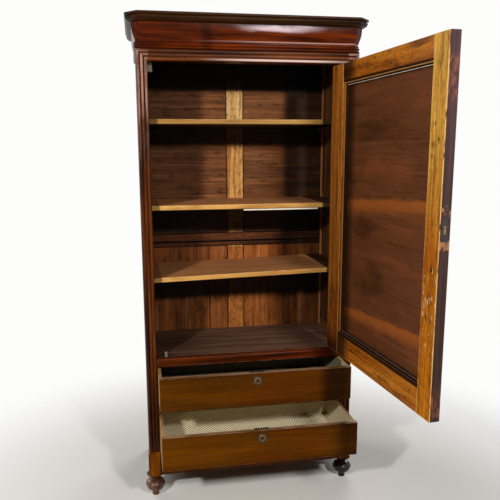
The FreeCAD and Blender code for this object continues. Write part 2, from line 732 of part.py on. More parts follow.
def build_hinges():
    """Three pin hinges: a fixed knuckle with its pin on the post, a bored knuckle on the door."""
    fixed = []
    moving = []
    bore = d.pin_radius + d.pin_clearance
    pin_length = d.knuckle_length - d.pin_end_gap
    leaf_start = axis_y + d.knuckle_radius / 2
    for i, level in enumerate(hinge_levels()):
        name = "hinge" + str(i)
        foot = level - d.knuckle_length
        knuckle = cylinder(
            name + "_fixed_knuckle", axis_x, y_at(axis_y), foot, d.knuckle_radius, d.knuckle_length)
        pin = cylinder(name + "_pin", axis_x, y_at(axis_y), level, d.pin_radius, pin_length)
        leaf = box(
            name + "_fixed_leaf", (opening_half - d.leaf_thickness, opening_half),
            span_y(leaf_start, d.reed_rise + d.leaf_depth), (foot, level))
        bridge = box(
            name + "_fixed_bridge", (axis_x, opening_half),
            span_y(leaf_start, leaf_start + d.leaf_thickness), (foot, level))
        fixed.append(fuse(name + "_fixed", [knuckle, pin, leaf, bridge]))
        start = level + d.knuckle_gap
        barrel = cylinder(
            name + "_moving_knuckle", axis_x, y_at(axis_y), start, d.knuckle_radius, d.knuckle_length)
        wing = box(
            name + "_moving_leaf", (door_right, door_right + d.leaf_thickness),
            span_y(leaf_start, door_back), (start, start + d.knuckle_length))
        depth = d.knuckle_length + d.overrun
        hole = cylinder(name + "_bore", axis_x, y_at(axis_y), start - d.overrun, bore, depth)
        moving.append(cut(name + "_moving", fuse(name + "_moving_blank", [barrel, wing]), [hole]))
    node(group("hinge_post_halves", fixed))
    node(swing(group("hinge_door_halves", moving)))


def build_door():
    """Door: through stiles, rails, a sunk panel with beads, a planted front moulding and its lock."""
    stile_y = span_y(door_front, door_back)
    inner_right = door_right - d.hinge_stile_width
    inner_left = door_left + d.lock_stile_width
    height = (door_bottom, door_top)
    low = (door_bottom, door_bottom + d.door_bottom_rail_height)
    high = (door_top - d.door_top_rail_height, door_top)
    node(swing(group("door_hinge_stile", [box("hinge_stile", (inner_right, door_right), stile_y, height)])))
    middle = door_front + d.door_thickness / 2
    half_case = d.lock_thickness / 2
    case_x = (door_left, door_left + lock_depth)
    case_z = (lock_level - d.lock_height / 2, lock_level + d.lock_height / 2)
    plate_x = (door_left, door_left + d.plate_thickness)
    plate_y = span_y(middle - d.plate_width / 2, middle + d.plate_width / 2)
    plate_z = (lock_level - d.plate_height / 2, lock_level + d.plate_height / 2)
    case = box("door_lock_case", case_x, span_y(middle - half_case, middle + half_case), case_z)
    plate = box("door_lock_plate", plate_x, plate_y, plate_z)
    body = fuse("door_lock_body", [case, plate])
    stile = box("lock_stile", (door_left, inner_left), stile_y, height)
    node(swing(cut("door_lock_stile", stile, [body])))
    half_bolt = d.bolt_thickness / 2
    half_rise = d.bolt_height / 2
    slot = box(
        "door_bolt_slot", (door_left - d.overrun, door_left + d.bolt_length + d.bolt_clearance),
        span_y(middle - half_bolt - d.bolt_clearance, middle + half_bolt + d.bolt_clearance),
        (lock_level - half_rise - d.bolt_clearance, lock_level + half_rise + d.bolt_clearance))
    node(swing(cut("door_lock", body, [slot])))
    bolt = box(
        "door_bolt_bar", (door_left, door_left + d.bolt_length),
        span_y(middle - half_bolt, middle + half_bolt), (lock_level - half_rise, lock_level + half_rise))
    node(swing(group("door_bolt", [bolt])))
    across = (inner_left, inner_right)
    node(swing(group("door_top_rail", [box("door_rail_high", across, stile_y, high)])))
    node(swing(group("door_bottom_rail", [box("door_rail_low", across, stile_y, low)])))
    panel_low = door_front + d.door_panel_set
    panel_high = panel_low + d.door_panel_thickness
    sight = (low[1], high[0])
    board = box("door_panel_board", across, span_y(panel_low, panel_high), sight)
    node(swing(group("door_panel", [board])))
    bead_y = span_y(panel_high, panel_high + d.inner_bead)
    beads = ring("inner_bead", across, sight, d.inner_bead, bead_y, INNER_BEAD_SHARES)
    node(swing(group("door_inner_beads", beads)))
    mould_y = span_y(door_front - d.front_bead_rise, door_front)
    wide = (inner_left - d.front_bead_width, inner_right + d.front_bead_width)
    tall = (low[1] - d.front_bead_width, high[0] + d.front_bead_width)
    strips = ring("front_bead", wide, tall, d.front_bead_width, mould_y, FRONT_BEAD_SHARES)
    node(swing(group("door_front_moulding", strips)))
    key_x = door_left + (d.lock_stile_width - d.front_bead_width) / 2
    node(swing(escutcheon("door_escutcheon", key_x, y_at(door_front), lock_level)))


def ring(name, x, z, width, y, shares):
    """Four moulded strips, mitred at the corners, round the inside of a rectangle."""
    depth = y[1] - y[0]
    corners = (("left", "low"), ("right", "low"), ("right", "high"), ("left", "high"))
    strips = []
    for i in range(len(corners)):
        pair = (corners[i], corners[(i + 1) % len(corners)])
        sections = []
        for level, outer, inner in shares:
            far = [sunk_corner(x, z, width * outer, spot) for spot in pair]
            near = [sunk_corner(x, z, width * inner, spot) for spot in reversed(pair)]
            sections.append((depth * level, far + near))
        strip = lofted(name + str(i), sections)
        turn(strip, FreeCAD.Vector(1, 0, 0), 90)
        place(strip, 0, y[1], 0)
        strips.append(strip)
    return strips


def sunk_corner(x, z, inset, spot):
    """A corner of a rectangle, moved in by the same amount both ways."""
    across = x[0] + inset if spot[0] == "left" else x[1] - inset
    return (across, z[0] + inset if spot[1] == "low" else z[1] - inset)


def escutcheon(name, x, y, z):
    """A round keyhole plate with a raised boss, planted on a front face."""
    thick = d.escutcheon_thickness
    disc = cylinder(name + "_disc", x, y - thick, z, d.escutcheon_radius, thick, "Y")
    top = y - thick - d.boss_height
    boss = cylinder(name + "_boss", x, top, z, d.boss_radius, d.boss_height + thick / 2, "Y")
    eye = cylinder(name + "_eye", x, y - d.overrun, z, d.keyhole_radius, d.overrun * 2, "Y")
    slot_half = d.keyhole_slot / 2
    slot_y = (y - d.overrun, y + d.overrun)
    slot = box(name + "_slot", (x - slot_half, x + slot_half), slot_y, (z - d.keyhole_drop, z))
    return cut(name, fuse(name + "_plate", [disc, boss]), [eye, slot])


def build_drawer(name, out, bottom):
    """A drawer: front with its lock, two sides, back, bottom and paper lining."""
    face = -out
    width = opening_half - d.drawer_gap
    inner = width - d.drawer_side_thickness
    top = bottom + d.drawer_front_height
    rear_of_front = face + d.drawer_front_thickness
    stop = face + drawer_length
    side_z = (bottom + d.drawer_side_lift, bottom + d.drawer_side_lift + d.drawer_side_height)
    catch_y = (face + catch_start, face + catch_start + d.catch_depth)
    half_catch = d.catch_width / 2
    catch_z = (top - d.catch_height, top)
    catch = box(name + "_catch_case", (-half_catch, half_catch), span_y(catch_y[0], catch_y[1]), catch_z)
    blank = box(name + "_front_blank", (-width, width), span_y(face, rear_of_front), (bottom, top))
    tails = {side: dovetails(name, side, inner, width, rear_of_front, side_z) for side in (-1, 1)}
    node(cut(name + "_front", blank, [catch] + tails[-1] + tails[1]))
    half_bolt = d.catch_bolt_width / 2
    bolt_low = catch_y[0] + (d.catch_depth - d.catch_bolt_depth) / 2
    bolt_y = (bolt_low, bolt_low + d.catch_bolt_depth)
    slot = box(
        name + "_catch_slot", (-half_bolt - d.bolt_clearance, half_bolt + d.bolt_clearance),
        span_y(bolt_y[0] - d.bolt_clearance, bolt_y[1] + d.bolt_clearance),
        (top - d.catch_bolt_height - d.bolt_clearance, top + d.overrun))
    node(cut(name + "_lock", catch, [slot]))
    bolt_z = (top - d.catch_bolt_height, top)
    node(box(name + "_bolt", (-half_bolt, half_bolt), span_y(bolt_y[0], bolt_y[1]), bolt_z))
    side_y = span_y(rear_of_front, stop)
    sides = [
        fuse(name + "_side_left", [box(name + "_left_board", (-width, -inner), side_y, side_z)] + tails[-1]),
        fuse(name + "_side_right", [box(name + "_right_board", (inner, width), side_y, side_z)] + tails[1]),
    ]
    node(group(name + "_sides", sides))
    board_low = bottom + d.drawer_side_lift + d.drawer_bottom_lift
    board_z = (board_low, board_low + d.drawer_bottom_thickness)
    back_y = (stop - d.drawer_side_thickness, stop)
    node(box(name + "_bottom", (-inner, inner), span_y(rear_of_front, stop), board_z))
    back_top = side_z[1] - d.drawer_back_drop
    node(box(name + "_back", (-inner, inner), span_y(back_y[0], back_y[1]), (board_z[1], back_top)))
    node(lining(name, inner, (rear_of_front, back_y[0]), (board_z[1], side_z[1]), back_top))
    node(escutcheon(name + "_escutcheon", as_size(0), y_at(face), top - d.keyhole_level))


def dovetails(name, side, inner, outer, shoulder, z):
    """Tails of one drawer side, which spread out into sockets that stop short of the front's face."""
    pitch = (z[1] - z[0]) / len(TAIL_SHARES)
    tails = []
    for i, (root_share, end_share) in enumerate(TAIL_SHARES):
        middle = z[0] + pitch * i + pitch / 2
        sections = []
        for depth, share in ((as_size(0), root_share), (d.tail_length, end_share)):
            half = pitch * share / 2
            low = middle - half
            high = middle + half
            corners = [(inner * side, low), (outer * side, low), (outer * side, high), (inner * side, high)]
            sections.append((depth, corners))
        tail = lofted(name + ("_left" if side < 0 else "_right") + "_tail" + str(i), sections)
        turn(tail, FreeCAD.Vector(1, 0, 0), 90)
        place(tail, 0, y_at(shoulder), 0)
        tails.append(tail)
    return tails


def lining(name, inner, y, z, back_top):
    """Printed paper on the bottom, the sides, the back and below the lock."""
    paper = d.lining_thickness
    start = y[0] + d.catch_proud
    wall_y = span_y(start, y[1] - paper)
    wall_z = (z[0] + paper, z[1])
    sheets = [
        box(name + "_paper_bottom", (-inner, inner), span_y(y[0], y[1]), (z[0], z[0] + paper)),
        box(name + "_paper_left", (-inner, -inner + paper), wall_y, wall_z),
        box(name + "_paper_right", (inner - paper, inner), wall_y, wall_z),
        box(name + "_paper_back", (-inner, inner), span_y(y[1] - paper, y[1]), (z[0] + paper, back_top)),
    ]
    return group(name + "_lining", sheets)


def check_and_write():
    """Checks every object and writes each piece to a file of its own."""
    doc.recompute()
    for piece in doc.Objects:
        if "Invalid" in piece.State or "Error" in piece.State:
            raise RuntimeError("failed: " + piece.Label + " " + str(piece.State))
    os.makedirs("parts", exist_ok=True)
    for piece in NODES:
        if piece.Shape.isNull() or not piece.Shape.isValid() or not piece.Shape.Solids:
            raise RuntimeError("bad shape: " + piece.Label)
    for piece in NODES:
        piece.Shape.exportStep("parts/" + piece.Label + ".step")
    print(len(NODES), "nodes")


build_front_frame()
build_carcass()
build_feet()
build_cornice()
build_back()
build_shelves()
build_stops()
build_runners()
build_hinges()
build_door()
build_drawer("upper_drawer", d.upper_drawer_out, upper_drawer_bottom)
build_drawer("lower_drawer", d.lower_drawer_out, lower_drawer_bottom)
check_and_write()
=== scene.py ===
import json
import math

import bmesh
import bpy
import numpy as np
from mathutils import Matrix, Vector


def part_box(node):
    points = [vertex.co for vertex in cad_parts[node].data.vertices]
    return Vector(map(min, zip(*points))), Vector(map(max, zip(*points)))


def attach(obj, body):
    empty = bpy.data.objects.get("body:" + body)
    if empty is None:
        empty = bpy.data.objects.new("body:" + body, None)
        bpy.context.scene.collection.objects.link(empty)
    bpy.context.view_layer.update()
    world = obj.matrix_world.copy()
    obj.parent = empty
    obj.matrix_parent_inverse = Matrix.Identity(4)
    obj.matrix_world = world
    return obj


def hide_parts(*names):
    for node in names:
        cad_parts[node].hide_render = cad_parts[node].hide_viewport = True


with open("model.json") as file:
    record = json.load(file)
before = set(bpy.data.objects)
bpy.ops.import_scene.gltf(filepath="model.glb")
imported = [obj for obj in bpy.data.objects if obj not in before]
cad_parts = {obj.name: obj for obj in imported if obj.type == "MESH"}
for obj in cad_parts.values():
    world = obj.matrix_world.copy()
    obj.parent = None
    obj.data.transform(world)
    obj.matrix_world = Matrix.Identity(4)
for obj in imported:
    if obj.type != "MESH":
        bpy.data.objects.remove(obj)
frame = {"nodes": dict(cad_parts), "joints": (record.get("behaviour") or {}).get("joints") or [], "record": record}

bl_info = {
    "name": "One-door cupboard",
    "version": (1, 0, 0),
    "blender": (4, 5, 0),
    "location": "3D View > Sidebar > Cupboard",
    "description": "Dresses a mahogany cupboard with its woods, drawer paper, locks and screws",
    "category": "Object",
}

NODES = frame["nodes"]
RECORD = frame["record"]
BODY_OF = {node: body for body, members in RECORD["behaviour"]["bodies"].items() for node in members}
JOINTS = {joint["name"]: joint for joint in frame["joints"]}
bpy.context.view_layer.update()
DOOR_ANGLE = -math.radians(JOINTS["door_hinge"]["range_deg"][0])
SHELF_TILT = math.radians(1.4)
ALONG_X, ALONG_Z = 0, 2
NO_RIM = -1.0
INWARD = None

# How far arrises are softened where it isn't the common size
SHARP = 0.0
METAL_ARRIS = 0.0004
ASTRAGAL_ARRIS = 0.0005
REED_ARRIS = 0.0006
MOULDED_ARRIS = 0.0008
DRAWER_ARRIS = 0.0016

# Heights inside where the back is joined, and where painted shade under the top and under the shelves starts, is
# full and ends
BACK_JOINT = 1.060
SHADOW_UNDER_TOP = (1.752, 1.768)
SHADOWS_UNDER_SHELVES = ((1.508, 1.528, 1.60), (1.094, 1.112, 1.24), (0.772, 0.800, 0.92))

# Painted shade towards the sides of the back: start and full place on the left and on the right, and the light
# left there; then where painted shade starts at the right end of each shelf
UPPER_BACK_SHADE = ((-0.11, -0.19), (0.215, 0.262), 0.62, 0.15)
LOWER_BACK_SHADE = ((-0.11, -0.19), (0.18, 0.25), 0.80, 0.32)
SHELF_SHADE = {"upper_shelf": 0.317, "middle_shelf": 0.324, "lower_shelf": 0.348}

# Knots in the door's frame: place along and across the board, and size
LOCK_STILE_KNOTS = (
    (0.332, 0.012, 0.0030), (0.285, -0.010, 0.0045), (0.270, 0.018, 0.0050), (0.236, 0.022, 0.0035),
    (-0.105, -0.006, 0.0060), (-0.255, 0.010, 0.0050), (-0.262, -0.018, 0.0035))
DOOR_RAIL_KNOTS = ((0.18, 0.010, 0.0035), (-0.06, -0.012, 0.0030), (0.05, 0.020, 0.0026))

# Tones along the boards of the door's frame and along the sill, partly stain and partly painted light and shade:
# place from 0 to 1, and tone
# The lock stile is yellower low down and paler towards the top: stain with painted light.
LOCK_STILE_STAIN_AND_LIGHT = ((0.0, 222, 174, 54), (0.45, 217, 168, 66), (0.70, 255, 250, 222), (1.0, 255, 255, 240))
HINGE_STILE_TONES = ((0.02, 60, 40, 24), (0.09, 150, 108, 78), (0.5, 196, 158, 124), (1.0, 214, 178, 150))
# The rails are darker at their hinge end: painted shade.
DOOR_RAIL_STAIN_AND_SHADE = ((0.0, 212, 166, 108), (0.80, 208, 160, 104), (0.90, 84, 62, 38), (1.0, 66, 48, 30))
# The sill is darker at its right end, by the door: painted shade.
SILL_STAIN_AND_SHADE = ((0.05, 158, 146, 150), (0.50, 226, 196, 210), (0.80, 236, 198, 216), (0.90, 130, 110, 110))

# Painted highlights on the lit step faces of the beads round the door's panel: side, middle, half width and tone
BEAD_LIGHT_LINES = (
    ("top", 0.0036, 0.0019, (168, 116, 62)), ("top", 0.0116, 0.0008, (222, 204, 190)),
    ("bottom", 0.0030, 0.0014, (98, 68, 56)), ("bottom", 0.0112, 0.0010, (128, 98, 90)),
    ("hinge", 0.0042, 0.0042, (150, 92, 38)), ("hinge", 0.0072, 0.0010, (196, 142, 84)))

# Screws: inset in a faceplate, depth of a hinge's leaf, and share of its height and inset for each screw
FACEPLATE_INSET = 0.008
LEAF_DEPTH = 0.0015
LEAF_SCREWS = ((0.2, 0.010), (0.5, 0.024), (0.8, 0.010))
SCREW_INPUTS = {
    "Points": "Geometry", "Head radius": "Float", "Head rise": "Float", "Slot width": "Float",
    "Facing": "Rotation", "Seed": "Int", "Finish": "Material"}

# Pins of a keyhole plate: places beside and below its middle, and radius
PIN_SIDE, PIN_DROP, PIN_RADIUS = 0.0168, -0.0100, 0.0022

# How much the paper's diamonds are drawn out on a drawer's bottom
BOTTOM_SQUEEZE = 0.45

# Framing of the photograph: width of the sensor, and shift of the picture across and up
SENSOR = 36.0
SHIFT_ACROSS, SHIFT_UP = 0.014, 0.0281

# Woods: name, where they are, dark and light tone of their grain
WOODS = (
    ("mahogany", "the polished front", (34, 13, 3), (112, 54, 12)),
    ("frieze", "the red frieze", (42, 11, 2), (126, 47, 5)),
    ("cap", "the cornice's cap", (22, 11, 3), (64, 35, 11)),
    ("front", "the drawers' fronts", (64, 32, 0), (106, 57, 1)),
    ("turned", "the turned feet", (46, 25, 15), (116, 76, 52)),
    ("block", "the blocks over the feet", (80, 40, 4), (152, 85, 12)),
    ("pine", "the inner side of the door", (168, 104, 30), (242, 192, 92)),
    ("panel", "the door's panel", (80, 43, 21), (108, 62, 34)),
    ("shelf", "the shelves", (164, 112, 50), (228, 176, 98)),
    ("back", "the back's panels", (60, 34, 16), (146, 86, 44)),
    ("board", "the boards low in the back", (72, 36, 12), (172, 96, 42)),
    ("rail", "the back's rails", (40, 22, 12), (126, 77, 46)),
    ("muntin", "the back's muntins", (182, 132, 74), (255, 220, 150)),
    ("inside", "the inner faces of the sides", (40, 22, 10), (110, 68, 34)),
    ("floor", "the cupboard's floor", (68, 46, 34), (122, 88, 68)),
    ("drawer", "the drawers' sides", (120, 82, 40), (198, 158, 102)),
)


def srgb(red, green, blue):
    """A colour as it looks on a screen, 0 to 255, made linear."""
    linear = []
    for level in (red, green, blue):
        share = level / 255
        linear.append(share / 12.92 if share <= 0.04045 else ((share + 0.055) / 1.055) ** 2.4)
    return tuple(linear)


def dimmed(colour, share):
    """A colour with only a share of its light."""
    return tuple(level * share for level in colour)


def colour_property(label, about, default):
    """A colour that shows in the sidebar."""
    return bpy.props.FloatVectorProperty(
        name=label, description=about, subtype="COLOR", size=3, min=0.0, max=1.0, default=srgb(*default))


def length_property(label, about, default):
    """A length that shows in the sidebar."""
    return bpy.props.FloatProperty(
        name=label, description=about, default=default, min=0.0, soft_max=0.1, precision=5, unit="LENGTH")


def angle_property(label, about, default):
    """An angle that shows in the sidebar."""
    return bpy.props.FloatProperty(name=label, description=about, default=default, subtype="ANGLE")


def power_property(label, about, default):
    """The power of a lamp, shown in the sidebar."""
    return bpy.props.FloatProperty(name=label, description=about, default=default, min=0.0, subtype="POWER")


class CupboardSizes(bpy.types.PropertyGroup):
    """Small sizes that the finish adds to the boards."""

    arris: length_property("Arris", "How far the edges of polished boards are softened", 0.0012)
    worn_arris: length_property("Worn arris", "How far the edges of bare boards are rounded", 0.0022)
    check: length_property("Check", "Width of one diamond of the drawer paper", 0.0122)
    screw_radius: length_property("Screw radius", "Radius of a screw head", 0.0034)
    screw_rise: length_property("Screw rise", "How far a screw head stands proud", 0.0005)
    screw_slot: length_property("Screw slot", "Width of the slot in a screw head", 0.0009)
    bead_radius: length_property("Bead radius", "Radius of the bead round a keyhole plate", 0.0197)
    bead_thickness: length_property("Bead thickness", "Thickness of that bead", 0.0028)
    ring_radius: length_property("Ring radius", "Radius of the raised ring round a keyhole", 0.0108)
    ring_width: length_property("Ring width", "Width of that ring", 0.0070)
    ring_rise: length_property("Ring rise", "Thickness of that ring", 0.0044)


class CupboardFinishes(bpy.types.PropertyGroup):
    """Colours of the woods, of the paper and of the metal."""

    panel_band: colour_property("Panel bands", "Paler bands across the door's panel", (158, 86, 32))
    edge_stain: colour_property("Edge stain", "Dark stain on the outer edges of the door", (62, 43, 42))
    shelf_top: colour_property("Shelf tops", "Dusty tops of the shelves", (208, 138, 86))
    paper: colour_property("Paper", "Ground of the drawer paper", (255, 240, 198))
    paper_check: colour_property("Paper check", "Dark diamonds of the drawer paper", (84, 56, 28))
    pale_wood: colour_property("Pale wood", "Bleached wood of the door's stops", (132, 128, 118))
    lath: colour_property("Lath", "Paint of the lath under a shelf", (222, 212, 194))
    brass: colour_property("Brass", "Polished high spots of the brass", (176, 142, 92))
    brass_dark: colour_property("Brass, dark", "Tarnish in the hollows of the brass", (58, 40, 20))
    iron: colour_property("Iron", "Rubbed high spots of the iron", (76, 70, 68))
    iron_dark: colour_property("Iron, dark", "Blackened iron", (30, 26, 24))


for wood, about, *tones in WOODS:
    for way, tone in zip(("dark", "light"), tones):
        CupboardFinishes.__annotations__[wood + "_" + way] = colour_property(
            "%s, %s" % (wood.capitalize(), way), "%s grain of %s" % (way.capitalize(), about), tone)


class CupboardStage(bpy.types.PropertyGroup):
    """Where the photograph was taken from and how the cupboard is lit."""

    eye: bpy.props.FloatVectorProperty(
        name="Eye", description="Place of the camera", subtype="TRANSLATION", unit="LENGTH", size=3,
        default=(-0.4649, -2.2829, 1.4906))
    heading: angle_property("Heading", "How far the camera turns to the right", 0.172)
    pitch: angle_property("Pitch", "How far the camera looks up", -0.185)
    roll: angle_property("Roll", "How far the camera leans", -0.005)
    lens: bpy.props.FloatProperty(
        name="Lens", description="Focal length in millimetres on a 36 mm sensor", default=43.78, min=10.0)
    left_lamp: power_property("Left lamp", "Power of the lamp at the front left", 80.0)
    right_lamp: power_property("Right lamp", "Power of the lamp at the front right", 58.0)
    rear_lamp: power_property("Rear lamps", "Power of each soft lamp behind", 52.0)
    sky: bpy.props.FloatProperty(
        name="Sky", description="Strength of the light from all round", default=0.035, min=0.0)
    ground: colour_property("Ground", "Colour of the plain floor that it stands on", (230, 227, 220))
    backdrop: colour_property("Backdrop", "Colour of all that lies behind", (253, 253, 252))


def tone_of(name):
    """A colour from the sidebar."""
    return tuple(getattr(bpy.context.scene.cupboard_finishes, name))


def grain_of(wood, share=1.0):
    """The dark and the light tone of a wood, with a share of their light."""
    return [dimmed(tone_of(wood + way), share) for way in ("_dark", "_light")]


def math_node(operation, swapped=False):
    """A method that adds one Math node."""
    def method(self, other=0.0):
        first, second = (other, self) if swapped else (self, other)
        return self.recipe.add("ShaderNodeMath", {"operation": operation}, {0: first, 1: second})
    return method


class Wire:
    """One socket of a node tree. Sums on it add Math nodes."""

    def __init__(self, recipe, socket):
        self.recipe = recipe
        self.socket = socket

    __add__ = __radd__ = math_node("ADD")
    __sub__ = math_node("SUBTRACT")
    __rsub__ = math_node("SUBTRACT", True)
    __mul__ = __rmul__ = math_node("MULTIPLY")
    __truediv__ = math_node("DIVIDE")
    __pow__ = math_node("POWER")
    __abs__ = math_node("ABSOLUTE")
    least = math_node("MINIMUM")
    most = math_node("MAXIMUM")
    sine = math_node("SINE")

    def other(self, output):
        """Another output of the same node."""
        return Wire(self.recipe, self.socket.node.outputs[output])


class Recipe:
    """The nodes of a material, of the world or of a tree, with one method that adds any node."""

    def __init__(self, owner):
        self.owner = owner
        self.tree = getattr(owner, "node_tree", owner)

    def add(self, kind, settings=None, inputs=None, output=0):
        """Adds a node: its settings first, then the values or links of its sockets."""
        node = self.tree.nodes.new(kind)
        for key, value in (settings or {}).items():
            if key == "stops":
                self._stops(node.color_ramp, value)
            else:
                setattr(node, key, value)
        for key, value in (inputs or {}).items():
            self.feed(node.inputs[key], value)
        return Wire(self, node.outputs[output])

    def _stops(self, ramp, stops):
        while len(ramp.elements) < len(stops):
            ramp.elements.new(1.0)
        for element, (place, colour) in zip(ramp.elements, stops):
            element.position = place
            element.color = (*colour, 1.0)

    def feed(self, socket, value):
        """Links a wire to a socket, or sets the socket's own value."""
        if isinstance(value, Wire):
            self.tree.links.new(value.socket, socket)
        elif socket.type == "RGBA" and len(value) == 3:
            socket.default_value = (*value, 1.0)
        else:
            socket.default_value = value

    def attribute(self, name, output="Vector"):
        return self.add("ShaderNodeAttribute", {"attribute_name": name}, None, output)

    def spot(self):
        """The place of a point, in the cupboard's frame at rest."""
        return self.add("ShaderNodeTexCoord", None, None, "Object")

    def where(self):
        """The same place as x, y and z."""
        return self.parts(self.spot())

    def parts(self, vector):
        first = self.add("ShaderNodeSeparateXYZ", None, {0: vector})
        return first, first.other(1), first.other(2)

    def joined(self, x, y, z):
        return self.add("ShaderNodeCombineXYZ", None, {0: x, 1: y, 2: z})

    def vector(self, operation, first, second):
        return self.add("ShaderNodeVectorMath", {"operation": operation}, {0: first, 1: second})

    def noise(self, vector, scale=1.0, detail=2.0, roughness=0.5):
        values = {"Vector": vector, "Scale": scale, "Detail": detail, "Roughness": roughness}
        return self.add("ShaderNodeTexNoise", None, values)

    def ramp(self, value, stops):
        return self.add("ShaderNodeValToRGB", {"stops": stops}, {0: value})

    def mix(self, share, first, second, way="MIX"):
        settings = {"data_type": "RGBA", "blend_type": way}
        return self.add("ShaderNodeMix", settings, {0: share, 6: first, 7: second}, 2)

    def darken(self, share, colour, factor):
        """The colour with less light where the share is 1."""
        return self.mix(share, colour, (factor, factor, factor), "MULTIPLY")

    def band(self, value, low, high):
        """0 below the low value, 1 above the high one, smooth between; they may be the other way round."""
        values = {"Value": value, "From Min": low, "From Max": high}
        return self.add("ShaderNodeMapRange", {"interpolation_type": "SMOOTHSTEP"}, values)

    def shade(self, colour, *rows):
        """Darkens a colour, row by row: a value, the two ends of its band and the light left there."""
        for value, low, high, factor in rows:
            colour = self.darken(self.band(value, low, high), colour, factor)
        return colour

    def tint(self, colour, *rows):
        """Mixes tones in, row by row: a value, the two ends of its band, the share and the tone."""
        for value, low, high, share, tone in rows:
            colour = self.mix(self.band(value, low, high) * share, colour, tone)
        return colour

    def stained(self, colour, place, stops):
        """Multiplies a colour by the tones that lie along a place from 0 to 1."""
        tones = self.ramp(place, [(stop, srgb(*tone)) for stop, *tone in stops])
        return self.mix(1.0, colour, tones, "MULTIPLY")

    def bump(self, height, strength, depth):
        return self.add("ShaderNodeBump", None, {"Strength": strength, "Distance": depth, "Height": height})

    def seen(self):
        """1 for what is seen straight, in a mirror or through glass, and 0 for what only lights."""
        straight = self.add("ShaderNodeLightPath", None, None, "Is Camera Ray")
        return straight.most(straight.other("Is Glossy Ray")).most(straight.other("Is Transmission Ray"))

    def surface(self, share, first, second, output):
        """Sends a mix of two shaders to the output of the tree."""
        both = self.add("ShaderNodeMixShader", None, {0: share, 1: first, 2: second})
        self.tree.links.new(both.socket, self.tree.nodes[output].inputs["Surface"])

    def finish(self, **sockets):
        """Feeds the main shader by the names of its sockets, with _ for a space."""
        shader = self.tree.nodes["Principled BSDF"]
        for name, value in sockets.items():
            self.feed(shader.inputs[name.replace("_", " ")], value)
        return self.owner


def new_material(name):
    """A material that is made of nodes."""
    material = bpy.data.materials.new(name)
    material.use_nodes = True
    return material


class Board(Recipe):
    """The figure of one kind of wood, worked out on each board's own axes: x along the grain."""

    def __init__(self, name, rings=55.0, streaks=70.0, weights=(0.4, 0.3, 0.12, 0.18)):
        super().__init__(new_material(name))
        grain = self.attribute("grain")
        tone = self.attribute("tone", "Fac")
        self.x, self.y, self.z = self.parts(grain)
        self.half = self.parts(self.attribute("half"))
        self.place = self.vector("ADD", grain, self.joined(tone * 17.3, tone * 5.9, tone * 9.7))
        wander = self.patches(1.6, 5.0, 2.0) - 0.5
        heart = self.y + (tone - 0.5) * 0.22 + wander * 0.09
        depth = self.z + tone * 0.09 + 0.04
        ring = (heart * heart + depth * depth) ** 0.5 * rings
        self.streaks = self.patches(2.6, streaks, 4.0, 0.6)
        self.fibres = self.patches(22.0, 640.0, 2.0)
        self.clouds = self.patches(2.4, 8.0, 2.0)
        year = self.noise(self.joined(ring, self.x * 1.1 + tone * 31.0, wander), 1.0, 3.0, 0.6)
        self.figure = (tone - 0.5) * 0.05
        for layer, weight in zip((year, self.streaks, self.fibres, self.clouds), weights):
            self.figure = self.figure + layer * weight

    def colour(self, dark, light, low=0.40, high=0.61):
        middle = tuple(d * 0.55 + l * 0.45 for d, l in zip(dark, light))
        return self.ramp(self.figure, [(low, dark), (0.5 * (low + high), middle), (high, light)])

    def patches(self, along, across, detail=3.0, roughness=0.5):
        """Noise on the board's own axes, by how often it changes along and across the grain."""
        place = self.vector("MULTIPLY", self.place, (along, across, across))
        return self.noise(place, 1.0, detail, roughness)

    def rim(self):
        """The rim that was written onto the board: a place in the room or the side that looks outwards."""
        return self.attribute("rim", "Fac")

    def edge(self, reach, patchy):
        """1 along the arrises of the board, broken up where it is less worn."""
        gaps = [half - abs(way) for half, way in zip(self.half, (self.x, self.y, self.z))]
        nearest = gaps[0].least(gaps[1]).most(gaps[0].most(gaps[1]).least(gaps[2]))
        line = self.band(nearest, reach, reach * 0.25)
        return line * self.band(self.patches(26.0, 60.0), patchy - 0.12, patchy + 0.12)

    def face(self, way, side, depth=0.0012):
        """1 on the face of the board that looks along one of its axes, 1 or -1."""
        value = (self.x, self.y, self.z)[way]
        return self.band(value * side - self.half[way], -depth, -depth * 0.5)

    def pores(self, share=0.62):
        return self.band(self.patches(70.0, 1500.0, 1.0), share, share + 0.08)

    def finished(self, colour, rough, strength, waves, shine):
        """The material, with a bump for the height of the grain and the slow waves left by the plane."""
        height = self.streaks * 0.5 + self.fibres * 0.35 - self.pores() * 0.25
        if waves:
            height = height + self.patches(5.0, 26.0, 1.0) * waves
        return self.finish(
            Base_Color=colour, Roughness=rough, Normal=self.bump(height, strength, 0.0007),
            Specular_IOR_Level=shine)


def polished(name, tones, rough, shine, worn=None, inside=None, shade_right=0.0, extra=None):
    """French-polished wood: deep streaks, fine pores, rubbed arrises, bare on faces that look inwards."""
    board = Board(name, 48.0, 60.0, (0.34, 0.36, 0.10, 0.20))
    colour = board.colour(*tones, 0.41, 0.60)
    colour = board.mix(board.pores(0.64) * 0.5, colour, dimmed(tones[0], 0.45))
    gloss = board.patches(7.0, 14.0) * 0.16 + (rough - 0.11) + board.streaks * 0.06
    if inside:
        within = board.band(abs(board.where()[0]) - board.rim(), 0.0016, 0.0008)
        colour = board.mix(within, colour, board.colour(*inside))
        gloss = gloss + within * 0.35
    if worn:
        rubbed = board.edge(0.003, 0.52)
        colour = board.mix(rubbed * 0.65, colour, worn)
        gloss = gloss + rubbed * 0.2
    # Painted shade towards the right, where the door shades the right foot and block.
    if shade_right:
        colour = board.shade(colour, (board.where()[0], 0.0, 0.3, shade_right))
    if extra:
        colour = extra(board, colour)
    return board.finished(colour, gloss, 0.10, 0.5, shine)


